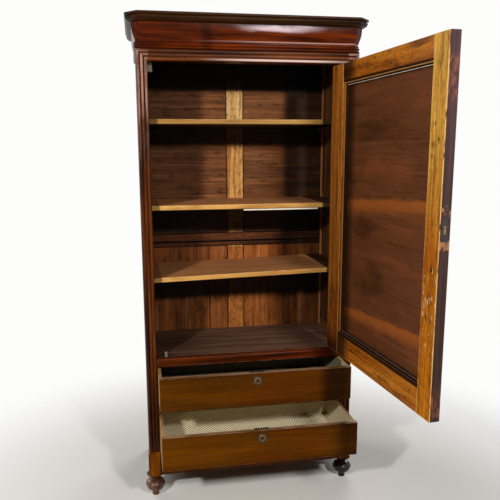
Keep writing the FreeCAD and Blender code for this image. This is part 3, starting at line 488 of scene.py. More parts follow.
def crest_highlights(board, colour):
    """Reeds with painted highlights on their crests, most at the top of the posts and along the rail's lowest
    reed; the posts darker low down.
    """
    x, y, z = board.where()
    crest = board.band(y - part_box("top_rail")[0].y, 0.0020, 0.0004)
    post = board.band(abs(x), 0.400, 0.408)
    high = board.band(z, 1.40, 1.80) * board.band(board.patches(9.0, 90.0), 0.34, 0.60)
    colour = board.darken(post * board.band(z, 0.85, 0.45), colour, 0.62)
    # Painted highlights: pale lines along the crests of the reeds.
    colour = board.mix(crest * (post * high * 0.46 + (1 - post) * 0.03), colour, srgb(206, 158, 140))
    lowest = board.band(abs(x - 0.13), 0.36, 0.10) * board.band(z, 1.851, 1.846) * (1 - post)
    return board.mix(crest * lowest * 0.72, colour, srgb(236, 206, 196))


def frieze_highlights(board, colour):
    """A frieze darker to the left, with a dark knot, a broad painted highlight high up and a painted highlight
    along its hollow.
    """
    x, _, z = board.where()
    low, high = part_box("frieze_front")
    level = (z - low.z) / (high.z - low.z)
    ragged = (board.patches(7.0, 30.0, 4.0, 0.6) - 0.5) * 0.5
    colour = board.shade(
        colour, (x, -0.02, -0.30, 0.55), (abs(x + 0.175 + ragged * 0.1), 0.030, 0.004, 0.5))
    # Painted highlights: a broad pale patch high on the frieze and a pale line along its hollow.
    reach = board.band(abs(x - 0.11 + ragged * 0.3), 0.20, 0.02)
    broad_highlight = reach * board.band(abs(level - 0.82 + ragged), 0.24, 0.02)
    hollow = board.band(x + ragged * 0.4, -0.26, 0.12) * board.band(abs(level - 0.14), 0.050, 0.012)
    colour = board.mix(hollow * 0.5, colour, srgb(216, 172, 160))
    return board.mix(broad_highlight * 0.68, colour, srgb(232, 210, 216))


def sill_stain_and_shade(board, colour):
    """A sill that is brown on the left, redder to the right of its middle, and darker at the door's foot, where
    painted shade stands for the door's shadow.
    """
    return board.stained(colour, board.where()[0] / 0.9 + 0.5, SILL_STAIN_AND_SHADE)


def bare(name, tones, rings, rough, worn=None, top=None, extra=None):
    """Bare softwood, dusty on top where a colour is given for the dust, and then with painted shade under it, at
    its ends and on the upper shelf.
    """
    board = Board(name, rings, 80.0, (0.46, 0.26, 0.12, 0.16))
    stain = board.patches(6.0, 13.0, 4.0, 0.6)
    colour = board.tint(board.colour(*tones), (stain, 0.54, 0.72, 0.5, dimmed(tones[0], 0.6)))
    if top:
        dust = board.mix(board.band(stain, 0.35, 0.65), dimmed(top, 0.75), top)
        dust = board.mix(board.figure, dust, dimmed(top, 0.55))
        dust = board.shade(dust, (board.streaks, 0.50, 0.64, 0.70))
        colour = board.mix(board.face(2, 1), colour, dust)
    if worn:
        colour = board.mix(board.edge(0.004, 0.45) * 0.5, colour, worn)
    if top:
        # Painted shade on the shelves: the underside nearly black, the right end in the door's shadow, the left
        # end in the post's shadow, and the upper shelf darker.
        x, _, z = board.where()
        colour = board.darken(board.face(2, -1, 0.003), colour, 0.10)
        colour = board.shade(
            colour, (x - board.rim(), -0.004, 0.006, 0.07), (x, -0.372, -0.378, 0.55), (z, 1.55, 1.58, 0.66))
    if extra:
        colour = extra(board, colour)
    return board.finished(colour, board.streaks * 0.2 + (rough - 0.1), 0.3, 0.8, 0.1)


def painted_shade_left(board, colour):
    """A floor with painted shade towards the left post."""
    return board.shade(colour, (board.where()[0], -0.10, -0.30, 0.62))


def back_frame(board, colour):
    """Rails and muntins of the back: mottled, with painted shade below the top bay and darker still below the
    lower joint, dark at their joints and edges, and with the painted shade of the back's inner faces.
    """
    height = board.where()[2]
    colour = board.shade(colour, (board.patches(40.0, 70.0, 4.0, 0.62), 0.46, 0.64, 0.6))
    # Painted shade below the top bay; below the joint the lower frame is darker again.
    for start, full, tone in ((1.62, 1.58, (0.86, 0.68, 0.48)), (1.036, 1.030, (0.64, 0.41, 0.30))):
        colour = board.mix(board.band(height, start, full), colour, tone, "MULTIPLY")
    colour = board.shade(
        colour, (abs(height - BACK_JOINT), 0.0048, 0.0034, 0.12),
        (board.half[1] - abs(board.y), 0.0040, 0.0024, 0.14))
    return painted_back_shade(board, colour, *LOWER_BACK_SHADE)


def painted_back_shade(board, clean, left, right, left_light, right_light):
    """Painted shade on the inner faces of the back: by the sides, under the top, under the shelves and lower down.
    """
    x, _, z = board.where()
    colour = board.shade(clean, (x, *left, left_light), (z, *SHADOW_UNDER_TOP, 0.07))
    for start, full, end in SHADOWS_UNDER_SHELVES:
        under = board.band(z, start, full) * board.band(z, end + 0.02, end)
        colour = board.darken(under, colour, 0.14)
    colour = board.shade(colour, (z, 0.92, 0.80, 0.82), (x, *right, right_light))
    return board.mix(board.band(board.z, 0.0005, -0.0005), clean, colour)


def back_wood(name, tones, scratches, grime_and_shade):
    """Panels of the back: dark stained boards, mottled, scratched along, darker at their edges, with painted shade
    towards the sides, under the top and under the shelves.
    """
    board = Board(name, 46.0, 90.0, (0.30, 0.34, 0.16, 0.20))
    dark = tones[0]
    x, _, z = board.where()
    right = board.band(x, 0.03, 0.05)
    mottle = board.patches(16.0, 30.0, 5.0, 0.65)
    scratch = board.patches(*scratches, 3.0, 0.6)
    colour = board.tint(
        board.colour(*tones, 0.35, 0.66), (mottle, 0.50, 0.68, 0.6, dimmed(dark, 0.5)),
        (scratch, 0.52, 0.70, 0.35, srgb(176, 120, 74)), (scratch, 0.46, 0.30, 0.5, dimmed(dark, 0.45)))
    flecks = board.band(board.patches(170.0, 110.0, 2.0, 0.6), 0.52, 0.64)
    bare_places = board.band(board.patches(5.0, 14.0, 2.0), 0.46, 0.60)
    share = board.band(z, 1.08, 1.10) * (right * 0.08 + 0.06)
    colour = board.mix(flecks * bare_places * share, colour, srgb(190, 144, 94))
    colour = board.mix(right * board.band(z, 1.05, 1.03), colour, (1.34, 1.32, 1.15), "MULTIPLY")
    rim = (board.half[1] - abs(board.y)).least(board.half[0] - abs(board.x))
    # The inner faces get painted shade by the sides, under the top and under the shelves.
    colour = painted_back_shade(board, board.shade(colour, (rim, 0.0036, 0.0020, 0.2)), *grime_and_shade)
    return board.finished(colour, mottle * 0.3 + 0.5, 0.35, 0.8, 0.1)


def door_wood(name, stops, knots, scuffed, worn, chipped=False, shadow_line=0.0):
    """Door frame: waxed pine inside, with painted light and shade in the tones along each board and a painted
    shadow line on the rails, dark stain on the outer edges and polished veneer outside.
    """
    board = Board(name, 60.0, 75.0, (0.40, 0.32, 0.10, 0.18))
    along = board.x / board.half[0] * 0.5 + 0.5
    grime_and_shade = board.patches(7.0, 24.0, 4.0, 0.62)
    # The tones along the board hold painted light and shade: the lock stile paler towards the top, the rails dark
    # at their hinge end.
    pine = board.stained(board.colour(*grain_of("pine"), 0.39, 0.60), along, stops)
    pine = board.shade(
        pine, (board.patches(2.2, 150.0, 3.0, 0.6), 0.54, 0.68, 0.45), (grime_and_shade, 0.52, 0.70, 0.42),
        (board.patches(48.0, 150.0, 4.0, 0.66), 0.50, 0.66, 0.55))
    for level, across, size in knots:
        apart = (board.x - level) * 0.62
        beside = board.y - across
        away = (apart * apart + beside * beside) ** 0.5 + (board.streaks - 0.5) * size
        pine = board.shade(pine, (away, size * 2.6, size, 0.62), (away, size, size * 0.45, 0.16))
    if scuffed:
        low_down = board.band(along, 0.08, 0.20) * board.band(along, 0.52, 0.38)
        marks = board.patches(20.0, 130.0, 3.0, 0.65) + low_down * 0.085 - 0.05
        pine = board.tint(pine, (marks, 0.64, 0.71, scuffed, srgb(244, 220, 172)))
    edge_stain = tone_of("edge_stain")
    streaked = board.band(board.figure, 0.40, 0.60)
    stain = board.mix(streaked, dimmed(edge_stain, 0.55), dimmed(edge_stain, 1.35))
    if chipped:
        stain = edge_chips(board, stain)
    outwards = board.y * board.rim()
    outer = board.band(outwards - board.half[1], -0.0016, -0.0008)
    depth = board.half[2] - board.z
    below = board.band(depth, 0.0030, 0.0036) * board.band(board.half[1] + outwards, 0.0010, 0.0020)
    colour = board.mix(outer.most(below), pine, stain)
    colour = board.mix(board.face(2, -1, 0.0015), colour, board.colour(*grain_of("mahogany")))
    rubbed = board.edge(0.0035, 0.42) * board.band(depth, 0.006, 0.003)
    colour = board.mix(rubbed * worn, colour, srgb(226, 176, 100))
    # A painted shadow line along the inner edge of the rails.
    if shadow_line:
        colour = board.shade(colour, (board.half[1] + outwards, shadow_line, shadow_line * 0.6, 0.10))
    return board.finished(colour, grime_and_shade * 0.3 + 0.36, 0.25, 0.8, 0.12)


def edge_chips(board, stain):
    """Worn and chipped places on the free edge of the door."""

    def between(place, low, full, fading, high):
        return board.band(place, low, full) * board.band(place, high, fading)

    rubbed = board.patches(24.0, 90.0, 4.0, 0.66)
    stain = board.mix(board.band(board.x, 0.0, -0.25), stain, srgb(222, 216, 186), "MULTIPLY")
    ends = between(board.x, 0.36, 0.42, 0.50, 0.53)
    ends = ends.most(board.band(board.x, -0.46, -0.52) * board.band(board.x, -0.575, -0.565))
    stain = board.mix(board.band(rubbed, 0.44, 0.60) * ends * 0.7, stain, srgb(138, 78, 58))
    spots = board.band(board.patches(90.0, 120.0, 2.0, 0.6), 0.52, 0.60)
    pitted = between(board.x, 0.050, 0.064, 0.088, 0.098)
    stain = board.mix(spots * pitted * 0.7, stain, srgb(160, 116, 84))
    chip = between(board.x + (rubbed - 0.5) * 0.03, -0.042, -0.036, -0.014, -0.008)
    return board.mix(chip * board.band(rubbed, 0.40, 0.56), stain, srgb(150, 104, 70))


def panel_wood(name):
    """Door panel: dark stained wood with two paler bands across it, painted shade along its hinge side and towards
    its top and bottom edges, polished veneer outside.
    """
    board = Board(name, 42.0, 55.0, (0.22, 0.42, 0.12, 0.24))
    clouds = board.patches(3.4, 9.0, 4.0, 0.6)
    colour = board.colour(*grain_of("panel"), 0.32, 0.70)
    colour = board.tint(colour, (clouds, 0.50, 0.68, 0.5, srgb(124, 64, 36)))
    colour = board.shade(
        colour, (clouds, 0.47, 0.30, 0.55), (board.patches(5.0, 120.0, 3.0, 0.6), 0.50, 0.68, 0.72))
    level = board.y + board.x * 0.068
    ragged = (board.patches(9.0, 60.0) - 0.5) * 0.035
    bands = []
    for middle, reach in ((0.049, 0.026), (-0.388, 0.023)):
        above = level - middle + ragged
        bands.append(
            board.band(above, reach * 1.15, reach * 0.6) * board.band(above, reach * -1.8, reach * 0.2))
    colour = board.mix(bands[0].most(bands[1]) * 0.7, colour, tone_of("panel_band"))
    # Painted shade: darker along the hinge side and towards the top and bottom edges of the recess.
    colour = board.shade(
        colour, (board.x, board.half[0] - 0.090, board.half[0] - 0.030, 0.26),
        (board.half[1] - abs(board.y), 0.030, 0.004, 0.5))
    colour = board.mix(board.face(2, -1, 0.0015), colour, board.colour(*grain_of("mahogany")))
    return board.finished(colour, board.streaks * 0.25 + 0.40, 0.15, 0.8, 0.1)


def bead_wood(name):
    """Stepped beads round the door's panel: a nearly black ground of painted shade with painted highlights on the
    lit step faces, tan and pale above, greyed below, like the stile on the hinge side.
    """
    board = Board(name)
    x, y, z = board.where()
    turn = own_axes("door_inner_beads")
    low, high = own_box("door_inner_beads")
    across = x * turn[0][0] + y * turn[0][1]
    gaps = {"top": high.z - z, "bottom": z - low.z, "hinge": high.x - across, "free": across - low.x}
    nearest = gaps["top"].least(gaps["bottom"]).least(gaps["hinge"].least(gaps["free"]))
    pine = tone_of("pine_dark")
    # A nearly black ground, painted shade, with painted highlights on the lit step faces.
    colour = board.colour(dimmed(pine, 0.02), dimmed(pine, 0.10))
    for side, middle, reach, tone in BEAD_LIGHT_LINES:
        mine = board.band(gaps[side] - nearest, 0.0006, 0.0001)
        line = board.band(abs(nearest - middle), reach + 0.0004, reach - 0.0004)
        colour = board.mix(mine * line, colour, srgb(*tone))
    return board.finished(colour, board.streaks * 0.2 + 0.42, 0.2, 0.0, 0.06)


def drawer_front_wood(name):
    """Drawer front: polished face, bare inside, pale worn upper edge; painted shade on the upper drawer's front,
    at the right end in the door's shadow, and darker towards its top and bottom edges.
    """
    board = Board(name, 40.0, 48.0, (0.30, 0.34, 0.06, 0.30))
    tones = grain_of("front")
    face = board.colour(*tones, 0.38, 0.64)
    worn_red = board.band(abs(board.x - 0.08), 0.24, 0.10) * board.band(board.clouds, 0.40, 0.56)
    face = board.mix(worn_red, face, (1.06, 0.84, 1.0), "MULTIPLY")
    face = board.mix(board.pores(0.64) * 0.4, face, dimmed(tones[0], 0.6))
    # Painted shade: the upper drawer's front darker, its right end in the door's shadow, and darker towards its
    # top and bottom edges.
    upper = board.band(board.where()[2], 0.40, 0.42)
    face = board.shade(
        board.darken(upper, face, 0.78), (board.x + upper * 0.055, 0.305, 0.365, 0.36),
        (board.half[1] - abs(board.y), 0.030, 0.0, 0.72))
    colour = board.mix(board.band(board.z, 0.0, 0.0015), face, board.colour(*grain_of("drawer")))
    top = board.face(1, 1) * board.band(board.patches(9.0, 40.0, 4.0, 0.62), 0.34, 0.58)
    colour = board.mix(top * 0.85, colour, srgb(150, 118, 92))
    colour = board.mix(board.face(0, -1) * 0.8, colour, srgb(150, 118, 84))
    colour = board.mix(board.edge(0.003, 0.50) * 0.55, colour, srgb(150, 112, 76))
    return board.finished(colour, board.patches(7.0, 14.0) * 0.25 + 0.28, 0.10, 0.4, 0.03)


def check_paper(name, size):
    """Drawer paper printed with small dark diamonds between pale lines; paler on the drawers' bottoms, with
    painted shade deep in the upper drawer.
    """
    recipe = Recipe(new_material(name))
    sheet = recipe.attribute("sheet")
    u, v, flat = recipe.parts(sheet)
    turns = math.pi / size
    rising = abs(((u + v) * turns).sine())
    falling = abs(((u - v) * turns).sine()) ** (1 - flat * 0.7)
    ink = recipe.band(rising * falling - (flat * 0.38 + 0.20), 0.0, 0.22)
    fade = recipe.noise(sheet, 9.0, 4.0)
    colour = recipe.mix(ink * (0.96 - fade * 0.2), tone_of("paper"), tone_of("paper_check"))
    colour = recipe.tint(colour, (fade, 0.52, 0.78, 0.15, srgb(196, 160, 108)))
    x, y, z = recipe.where()
    low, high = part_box("upper_drawer_lining")
    # Painted shade on the upper drawer's paper, deeper inside and at its right side.
    deep = recipe.band(y - low.y, 0.060, 0.085).most(recipe.band(x, high.x - 0.003, high.x - 0.008))
    colour = recipe.darken(recipe.band(z, 0.415, 0.425) * deep, colour, 0.30)
    return recipe.finish(
        Base_Color=colour, Roughness=fade * 0.2 + 0.7, Normal=recipe.bump(fade, 0.3, 0.002),
        Specular_IOR_Level=0.1)


def painted(name, colour, under):
    """Thin worn paint over wood."""
    board = Board(name)
    worn = board.band(board.streaks * 0.6 + board.clouds * 0.4, 0.60, 0.70)
    colour = board.mix(worn.most(board.edge(0.0015, 0.55)), colour, under)
    return board.finished(colour, board.clouds * 0.2 + 0.45, 0.2, 0.0, 0.2)


def metal(name, bright, dark, rough, shine):
    """Old metal: rubbed high spots, tarnish in patches, fine scratches."""
    recipe = Recipe(new_material(name))
    place = recipe.spot()
    patches = recipe.noise(place, 260.0, 4.0, 0.6)
    scratches = recipe.noise(recipe.vector("MULTIPLY", place, (900.0, 900.0, 160.0)), 1.0, 2.0)
    tarnish = recipe.band(patches * 0.7 + scratches * 0.3, 0.30, 0.66)
    return recipe.finish(
        Base_Color=recipe.mix(tarnish, bright, dark), Metallic=1 - tarnish * (1 - shine),
        Roughness=tarnish * 0.3 + rough, Normal=recipe.bump(scratches + patches, 0.2, 0.0004))


def build_finishes():
    """Every finish, by the name that the pieces ask for it."""
    mahogany, cap, inside = grain_of("mahogany"), grain_of("cap"), grain_of("inside")
    brass, tarnish, pale = tone_of("brass"), tone_of("brass_dark"), tone_of("pale_wood")
    return {
        "mahogany": polished("polished mahogany", mahogany, 0.27, 0.08, srgb(132, 78, 50), inside),
        "reeded": polished("reeded mahogany", mahogany, 0.24, 0.09, extra=crest_highlights),
        "sill": polished(
            "sill mahogany", grain_of("mahogany", 1.5), 0.27, 0.06, srgb(176, 144, 130), extra=sill_stain_and_shade),
        "frieze": polished("red mahogany", grain_of("frieze"), 0.24, 0.05, extra=frieze_highlights),
        "block": polished("block mahogany", grain_of("block"), 0.28, 0.03, shade_right=0.4),
        "cap": polished("dark mahogany", cap, 0.36, 0.06, srgb(84, 56, 34), inside),
        # The rear posts' inner faces use the inside wood four times as light: painted light.
        "rear_post": polished("rear post wood", cap, 0.4, 0.06, inside=grain_of("inside", 4.0)),
        "turned": polished("turned mahogany", grain_of("turned"), 0.24, 0.30, shade_right=0.10),
        "lock_stile": door_wood("lock stile pine", LOCK_STILE_STAIN_AND_LIGHT, LOCK_STILE_KNOTS, 0.75, 0.8, True),
        "hinge_stile": door_wood("hinge stile pine", HINGE_STILE_TONES, (), 0.0, 0.35),
        "door_rail": door_wood("door rail pine", DOOR_RAIL_STAIN_AND_SHADE, DOOR_RAIL_KNOTS, 0.0, 0.4, shadow_line=0.006),
        "panel": panel_wood("door panel wood"),
        "bead": bead_wood("door bead wood"),
        "drawer_front": drawer_front_wood("drawer front mahogany"),
        "shelf": bare("shelf pine", grain_of("shelf"), 62.0, 0.6, srgb(232, 190, 118), tone_of("shelf_top")),
        "back_upper": back_wood("upper back panels", grain_of("back"), (2.2, 64.0), UPPER_BACK_SHADE),
        "back_lower": back_wood("lower back boards", grain_of("board"), (2.6, 50.0), LOWER_BACK_SHADE),
        "back_rail": bare("back rail wood", grain_of("rail"), 50.0, 0.66, extra=back_frame),
        "muntin": bare("muntin wood", grain_of("muntin"), 60.0, 0.66, extra=back_frame),
        "cleat": bare("cleat wood", inside, 60.0, 0.66),
        "floor": bare(
            "cupboard floor wood", grain_of("floor"), 50.0, 0.6, srgb(150, 120, 104), extra=painted_shade_left),
        "drawer": bare("drawer wood", grain_of("drawer"), 64.0, 0.62),
        "pale": bare("bleached wood", (dimmed(pale, 0.6), pale), 60.0, 0.7),
        "paper": check_paper("check paper", bpy.context.scene.cupboard_sizes.check),
        "lath": painted("white lath paint", tone_of("lath"), srgb(186, 168, 138)),
        "brass": metal("tarnished brass", brass, tarnish, 0.32, 0.7),
        "plate": metal("brown brass", dimmed(brass, 0.22), dimmed(tarnish, 0.4), 0.42, 0.5),
        "iron": metal("blackened iron", tone_of("iron"), tone_of("iron_dark"), 0.45, 0.6),
    }


FINISHES = {}


def finish_of(name):
    """A finish, made when it is first asked for."""
    if not FINISHES:
        FINISHES.update(build_finishes())
    return FINISHES[name]


def solids_of(mesh):
    """The triangles of a node sorted into its closed solids, each a list of corner triples."""
    solids, triangles, waiting = [], [], set()
    for face in mesh.polygons:
        corners = [tuple(round(c, 6) for c in mesh.vertices[i].co) for i in face.vertices]
        triangles.append(corners)
        for start, end in zip(corners, corners[1:] + corners[:1]):
            if start == end:
                continue
            if (end, start) in waiting:
                waiting.remove((end, start))
            else:
                waiting.add((start, end))
        if not waiting:
            solids.append(triangles)
            triangles = []
    if triangles:
        solids.append(triangles)
    return solids


def islands(mesh):
    """A label for each vertex that tells the separate boards of a mesh apart."""
    edges = np.empty(len(mesh.edges) * 2, np.int64)
    mesh.edges.foreach_get("vertices", edges)
    first, second = edges.reshape(-1, 2).T
    label = np.arange(len(mesh.vertices))
    while True:
        low = np.minimum(label[first], label[second])
        after = label.copy()
        np.minimum.at(after, first, low)
        np.minimum.at(after, second, low)
        after = after[after]
        if (after == label).all():
            return label
        label = after


def own_axes(node):
    """Rotation from the room to the axes that a board was made on."""
    if BODY_OF[node] in ("door", "door_bolt_body"):
        return Matrix.Rotation(-DOOR_ANGLE, 3, "Z")
    if node == "lower_shelf":
        return Matrix.Rotation(SHELF_TILT, 3, "Y")
    return Matrix.Identity(3)


def own_box(node):
    """Lowest and highest corners of a node on its own axes."""
    axes = own_axes(node)
    spots = [axes @ vertex.co for vertex in NODES[node].data.vertices]
    return [Vector([end(spot[i] for spot in spots) for i in range(3)]) for end in (min, max)]


def mark_grain(mesh, axes, along, rim, seed):
    """Writes each board's own axes, half sizes, tone and rim onto its vertices, for the wood to follow."""
    count = len(mesh.vertices)
    spots = np.empty(count * 3)
    mesh.vertices.foreach_get("co", spots)
    spots = spots.reshape(-1, 3)
    local = spots @ np.array(axes).T
    label = islands(mesh)
    grain, half = np.zeros((count, 3)), np.zeros((count, 3))
    tone, rims = np.zeros(count), np.zeros(count)
    random = np.random.default_rng(seed)
    for board in np.unique(label):
        own = label == board
        low, high = local[own].min(0), local[own].max(0)
        order = [int(a) for a in np.argsort(low - high, kind="stable")]
        if along is not None:
            order = [along] + [a for a in order if a != along]
        grain[own] = (local[own] - (low + high) / 2)[:, order]
        half[own] = ((high - low) / 2)[order]
        tone[own] = random.random()
        rims[own] = np.abs(spots[own, 0]).min() if rim is INWARD else rim
    for name, kind, field, values in (
            ("grain", "FLOAT_VECTOR", "vector", grain), ("half", "FLOAT_VECTOR", "vector", half),
            ("tone", "FLOAT", "value", tone), ("rim", "FLOAT", "value", rims)):
        mesh.attributes.new(name, kind, "POINT").data.foreach_set(field, values.ravel())


def mark_sheet(mesh):
    """Writes the place on the flat paper onto the corners of each face, by the way that the face looks."""
    values = np.zeros((len(mesh.loops), 3))
    for face in mesh.polygons:
        across = max(range(3), key=lambda i: abs(face.normal[i]))
        first, second = [i for i in range(3) if i != across]
        flat = across == 2
        for corner in face.loop_indices:
            spot = mesh.vertices[mesh.loops[corner].vertex_index].co
            values[corner] = (spot[first], spot[second] * (BOTTOM_SQUEEZE if flat else 1.0), float(flat))
    mesh.attributes.new("sheet", "FLOAT_VECTOR", "CORNER").data.foreach_set("vector", values.ravel())


def mesh_of(shape, name, smooth=False):
    """A mesh from a shape that is ready."""
    mesh = bpy.data.meshes.new(name)
    shape.to_mesh(mesh)
    shape.free()
    if smooth:
        mesh.polygons.foreach_set("use_smooth", [True] * len(mesh.polygons))
    return mesh


def new_piece(mesh):
    """An object in the scene for a mesh."""
    piece = bpy.data.objects.new(mesh.name, mesh)
    bpy.context.scene.collection.objects.link(piece)
    return piece


def carried(piece, node):
    """Lets a piece ride on a node's body."""
    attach(piece, BODY_OF[node])


def softened(node, width):
    """A copy of a node's boards, each with merged corners and softened arrises."""
    shape = bmesh.new()
    for triangles in solids_of(NODES[node].data):
        corners = {spot: shape.verts.new(spot) for triangle in triangles for spot in triangle}
        for triangle in triangles:
            own = [corners[spot] for spot in triangle]
            if len(set(own)) == 3 and shape.faces.get(own) is None:
                shape.faces.new(own)
        bmesh.ops.remove_doubles(shape, verts=list(corners.values()), dist=1e-5)
    if width:
        bmesh.ops.dissolve_limit(
            shape, angle_limit=math.radians(0.3), use_dissolve_boundaries=False, verts=shape.verts,
            edges=shape.edges)
    piece = new_piece(mesh_of(shape, node + "_finished", bool(width)))
    if width:
        bevel = piece.modifiers.new("soft arrises", "BEVEL")
        bevel.width = width
        bevel.segments = 2
        bevel.limit_method = "ANGLE"
        bevel.angle_limit = math.radians(38)
        weighted = piece.modifiers.new("flat faces", "WEIGHTED_NORMAL")
        weighted.weight = 100
        weighted.keep_sharp = True
        made_plain(piece)
    return piece


def made_plain(piece):
    """Turns what an object's modifiers give into its own mesh."""
    view = bpy.context.evaluated_depsgraph_get()
    mesh = bpy.data.meshes.new_from_object(
        piece.evaluated_get(view), preserve_all_data_layers=True, depsgraph=view)
    piece.modifiers.clear()
    old = piece.data
    piece.data = mesh
    bpy.data.meshes.remove(old)
    mesh.name = piece.name


def dress(finish, *nodes, along=None, rim=NO_RIM, width=None):
    """Puts softened pieces with one finish in the places of nodes."""
    if width is None:
        width = bpy.context.scene.cupboard_sizes.arris
    for node in nodes:
        piece = softened(node, width)
        seed = sum((i + 1) * ord(letter) for i, letter in enumerate(node))
        mark_grain(piece.data, own_axes(node), along, rim, seed)
        if finish == "paper":
            mark_sheet(piece.data)
        piece.data.materials.clear()
        piece.data.materials.append(finish_of(finish))
        carried(piece, node)
        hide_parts(node)


def screw_tree():
    """Nodes that set a slotted screw head on every point, each turned at random about its own axis."""
    tree = bpy.data.node_groups.new("screw heads", "GeometryNodeTree")
    for name, kind in SCREW_INPUTS.items():
        tree.interface.new_socket(name, in_out="INPUT", socket_type="NodeSocket" + kind)
    tree.interface.new_socket("Screws", in_out="OUTPUT", socket_type="NodeSocketGeometry")
    recipe = Recipe(tree)
    entry = recipe.add("NodeGroupInput")
    points, radius, rise, slot, facing, seed, finish = [entry.other(name) for name in SCREW_INPUTS]
    ball = recipe.add("GeometryNodeMeshUVSphere", None, {"Segments": 20, "Rings": 10, "Radius": radius})
    flat = recipe.joined(1.0, 1.0, rise / radius)
    dome = recipe.add("GeometryNodeTransform", None, {"Geometry": ball, "Scale": flat})
    bar = recipe.add("GeometryNodeMeshCube", None, {"Size": recipe.joined(radius * 3.0, slot, rise)})
    lift = recipe.joined(0.0, 0.0, rise)
    blade = recipe.add("GeometryNodeTransform", None, {"Geometry": bar, "Translation": lift})
    head = recipe.add("GeometryNodeMeshBoolean", {"operation": "DIFFERENCE"}, {0: dome, 1: blade})
    turn = recipe.add(
        "FunctionNodeRandomValue", {"data_type": "FLOAT"}, {2: 0.0, 3: math.pi, "Seed": seed}, 1)
    own = recipe.add("FunctionNodeEulerToRotation", None, {0: recipe.joined(0.0, 0.0, turn)})
    aim = recipe.add("FunctionNodeRotateRotation", {"rotation_space": "LOCAL"}, {0: facing, 1: own})
    heads = recipe.add(
        "GeometryNodeInstanceOnPoints", None, {"Points": points, "Instance": head, "Rotation": aim})
    real = recipe.add("GeometryNodeRealizeInstances", None, {0: heads})
    coat = recipe.add("GeometryNodeSetMaterial", None, {"Geometry": real, "Material": finish})
    recipe.feed(tree.nodes.new("NodeGroupOutput").inputs[0], coat)
    return tree


def set_screws(name, node, spots, facing, finish, seed):
    """Screw heads in one node's metal, at places on its own axes, all looking the same way."""
    sizes = bpy.context.scene.cupboard_sizes
    turn = own_axes(node).transposed()
    mesh = bpy.data.meshes.new(name)
    mesh.from_pydata([tuple(turn @ Vector(spot)) for spot in spots], [], [])
    piece = new_piece(mesh)
    tree = bpy.data.node_groups.get("screw heads") or screw_tree()
    nodes = piece.modifiers.new("screw heads", "NODES")
    nodes.node_group = tree
    values = {
        "Head radius": sizes.screw_radius, "Head rise": sizes.screw_rise, "Slot width": sizes.screw_slot,
        "Facing": (turn @ Vector(facing)).to_track_quat("Z", "Y").to_euler(), "Seed": seed,
        "Finish": finish_of(finish)}
    for socket in tree.interface.items_tree:
        if socket.in_out == "INPUT" and socket.name in values:
            nodes[socket.identifier] = values[socket.name]
    made_plain(piece)
    carried(piece, node)


def round_bead(shape, centre, radius, width, rise, finish, turns=48, sides=12):
    """A bar bent into a ring about the y axis, set with its middle at the centre."""
    loops = []
    for i in range(turns):
        angle = 2 * math.pi * i / turns
        loop = []
        for j in range(sides):
            tilt = 2 * math.pi * j / sides
            reach = radius + width / 2 * math.cos(tilt)
            proud = rise / 2 * math.sin(tilt)
            loop.append(shape.verts.new(
                centre + Vector((reach * math.cos(angle), proud, reach * math.sin(angle)))))
        loops.append(loop)
    for i, loop in enumerate(loops):
        after = loops[(i + 1) % turns]
        for j in range(sides):
            k = (j + 1) % sides
            shape.faces.new((loop[j], loop[k], after[k], after[j])).material_index = finish


def trim_keyhole_plate(node):
    """A bead round a keyhole plate, a raised ring round its keyhole and a small pin low on each side."""
    sizes = bpy.context.scene.cupboard_sizes
    low, high = own_box(node)
    centre = Vector(((low.x + high.x) / 2, low.y + 0.002, (low.z + high.z) / 2))
    shape = bmesh.new()
    round_bead(shape, centre, sizes.bead_radius, sizes.bead_thickness, sizes.bead_thickness, 1)
    round_bead(shape, centre, sizes.ring_radius, sizes.ring_width, sizes.ring_rise, 0)
    for side in (-1, 1):
        at = Matrix.Translation(centre + Vector((side * PIN_SIDE, 0.0, PIN_DROP)))
        bmesh.ops.create_icosphere(shape, subdivisions=2, radius=PIN_RADIUS, matrix=at)
    bmesh.ops.transform(shape, matrix=own_axes(node).transposed().to_4x4(), verts=shape.verts)
    bmesh.ops.recalc_face_normals(shape, faces=shape.faces)
    mesh = mesh_of(shape, node + "_bead", True)
    mesh.materials.append(finish_of("brass"))
    mesh.materials.append(finish_of("plate"))
    carried(new_piece(mesh), node)


class CUPBOARD_OT_front_frame(bpy.types.Operator):
    """Polishes the reeded posts, the top rail and the rails between the posts"""

    bl_idname = "cupboard.front_frame"
    bl_label = "Front frame"

    def execute(self, context):
        dress("reeded", "front_left_post", "front_right_post", "top_rail", width=REED_ARRIS)
        dress("sill", "sill_rail")
        dress("mahogany", "divider_rail", "plinth_rail")
        return {"FINISHED"}


class CUPBOARD_OT_cornice(bpy.types.Operator):
    """Polishes the top board, the frieze and the cap"""

    bl_idname = "cupboard.cornice"
    bl_label = "Cornice"

    def execute(self, context):
        dress("frieze", "top_board", width=ASTRAGAL_ARRIS)
        dress("frieze", "frieze_front", "frieze_returns", width=MOULDED_ARRIS)
        dress("cap", "cornice_cap", width=MOULDED_ARRIS)
        return {"FINISHED"}


class CUPBOARD_OT_carcass(bpy.types.Operator):
    """Finishes the sides, the rear posts, the plinth blocks and the turned feet"""

    bl_idname = "cupboard.carcass"
    bl_label = "Carcass"

    def execute(self, context):
        dress("mahogany", "side_rails", "side_panels", rim=INWARD)
        dress("rear_post", "rear_posts", rim=INWARD)
        dress("block", "plinth_blocks")
        dress("turned", "front_feet", along=ALONG_Z, width=MOULDED_ARRIS)
        return {"FINISHED"}


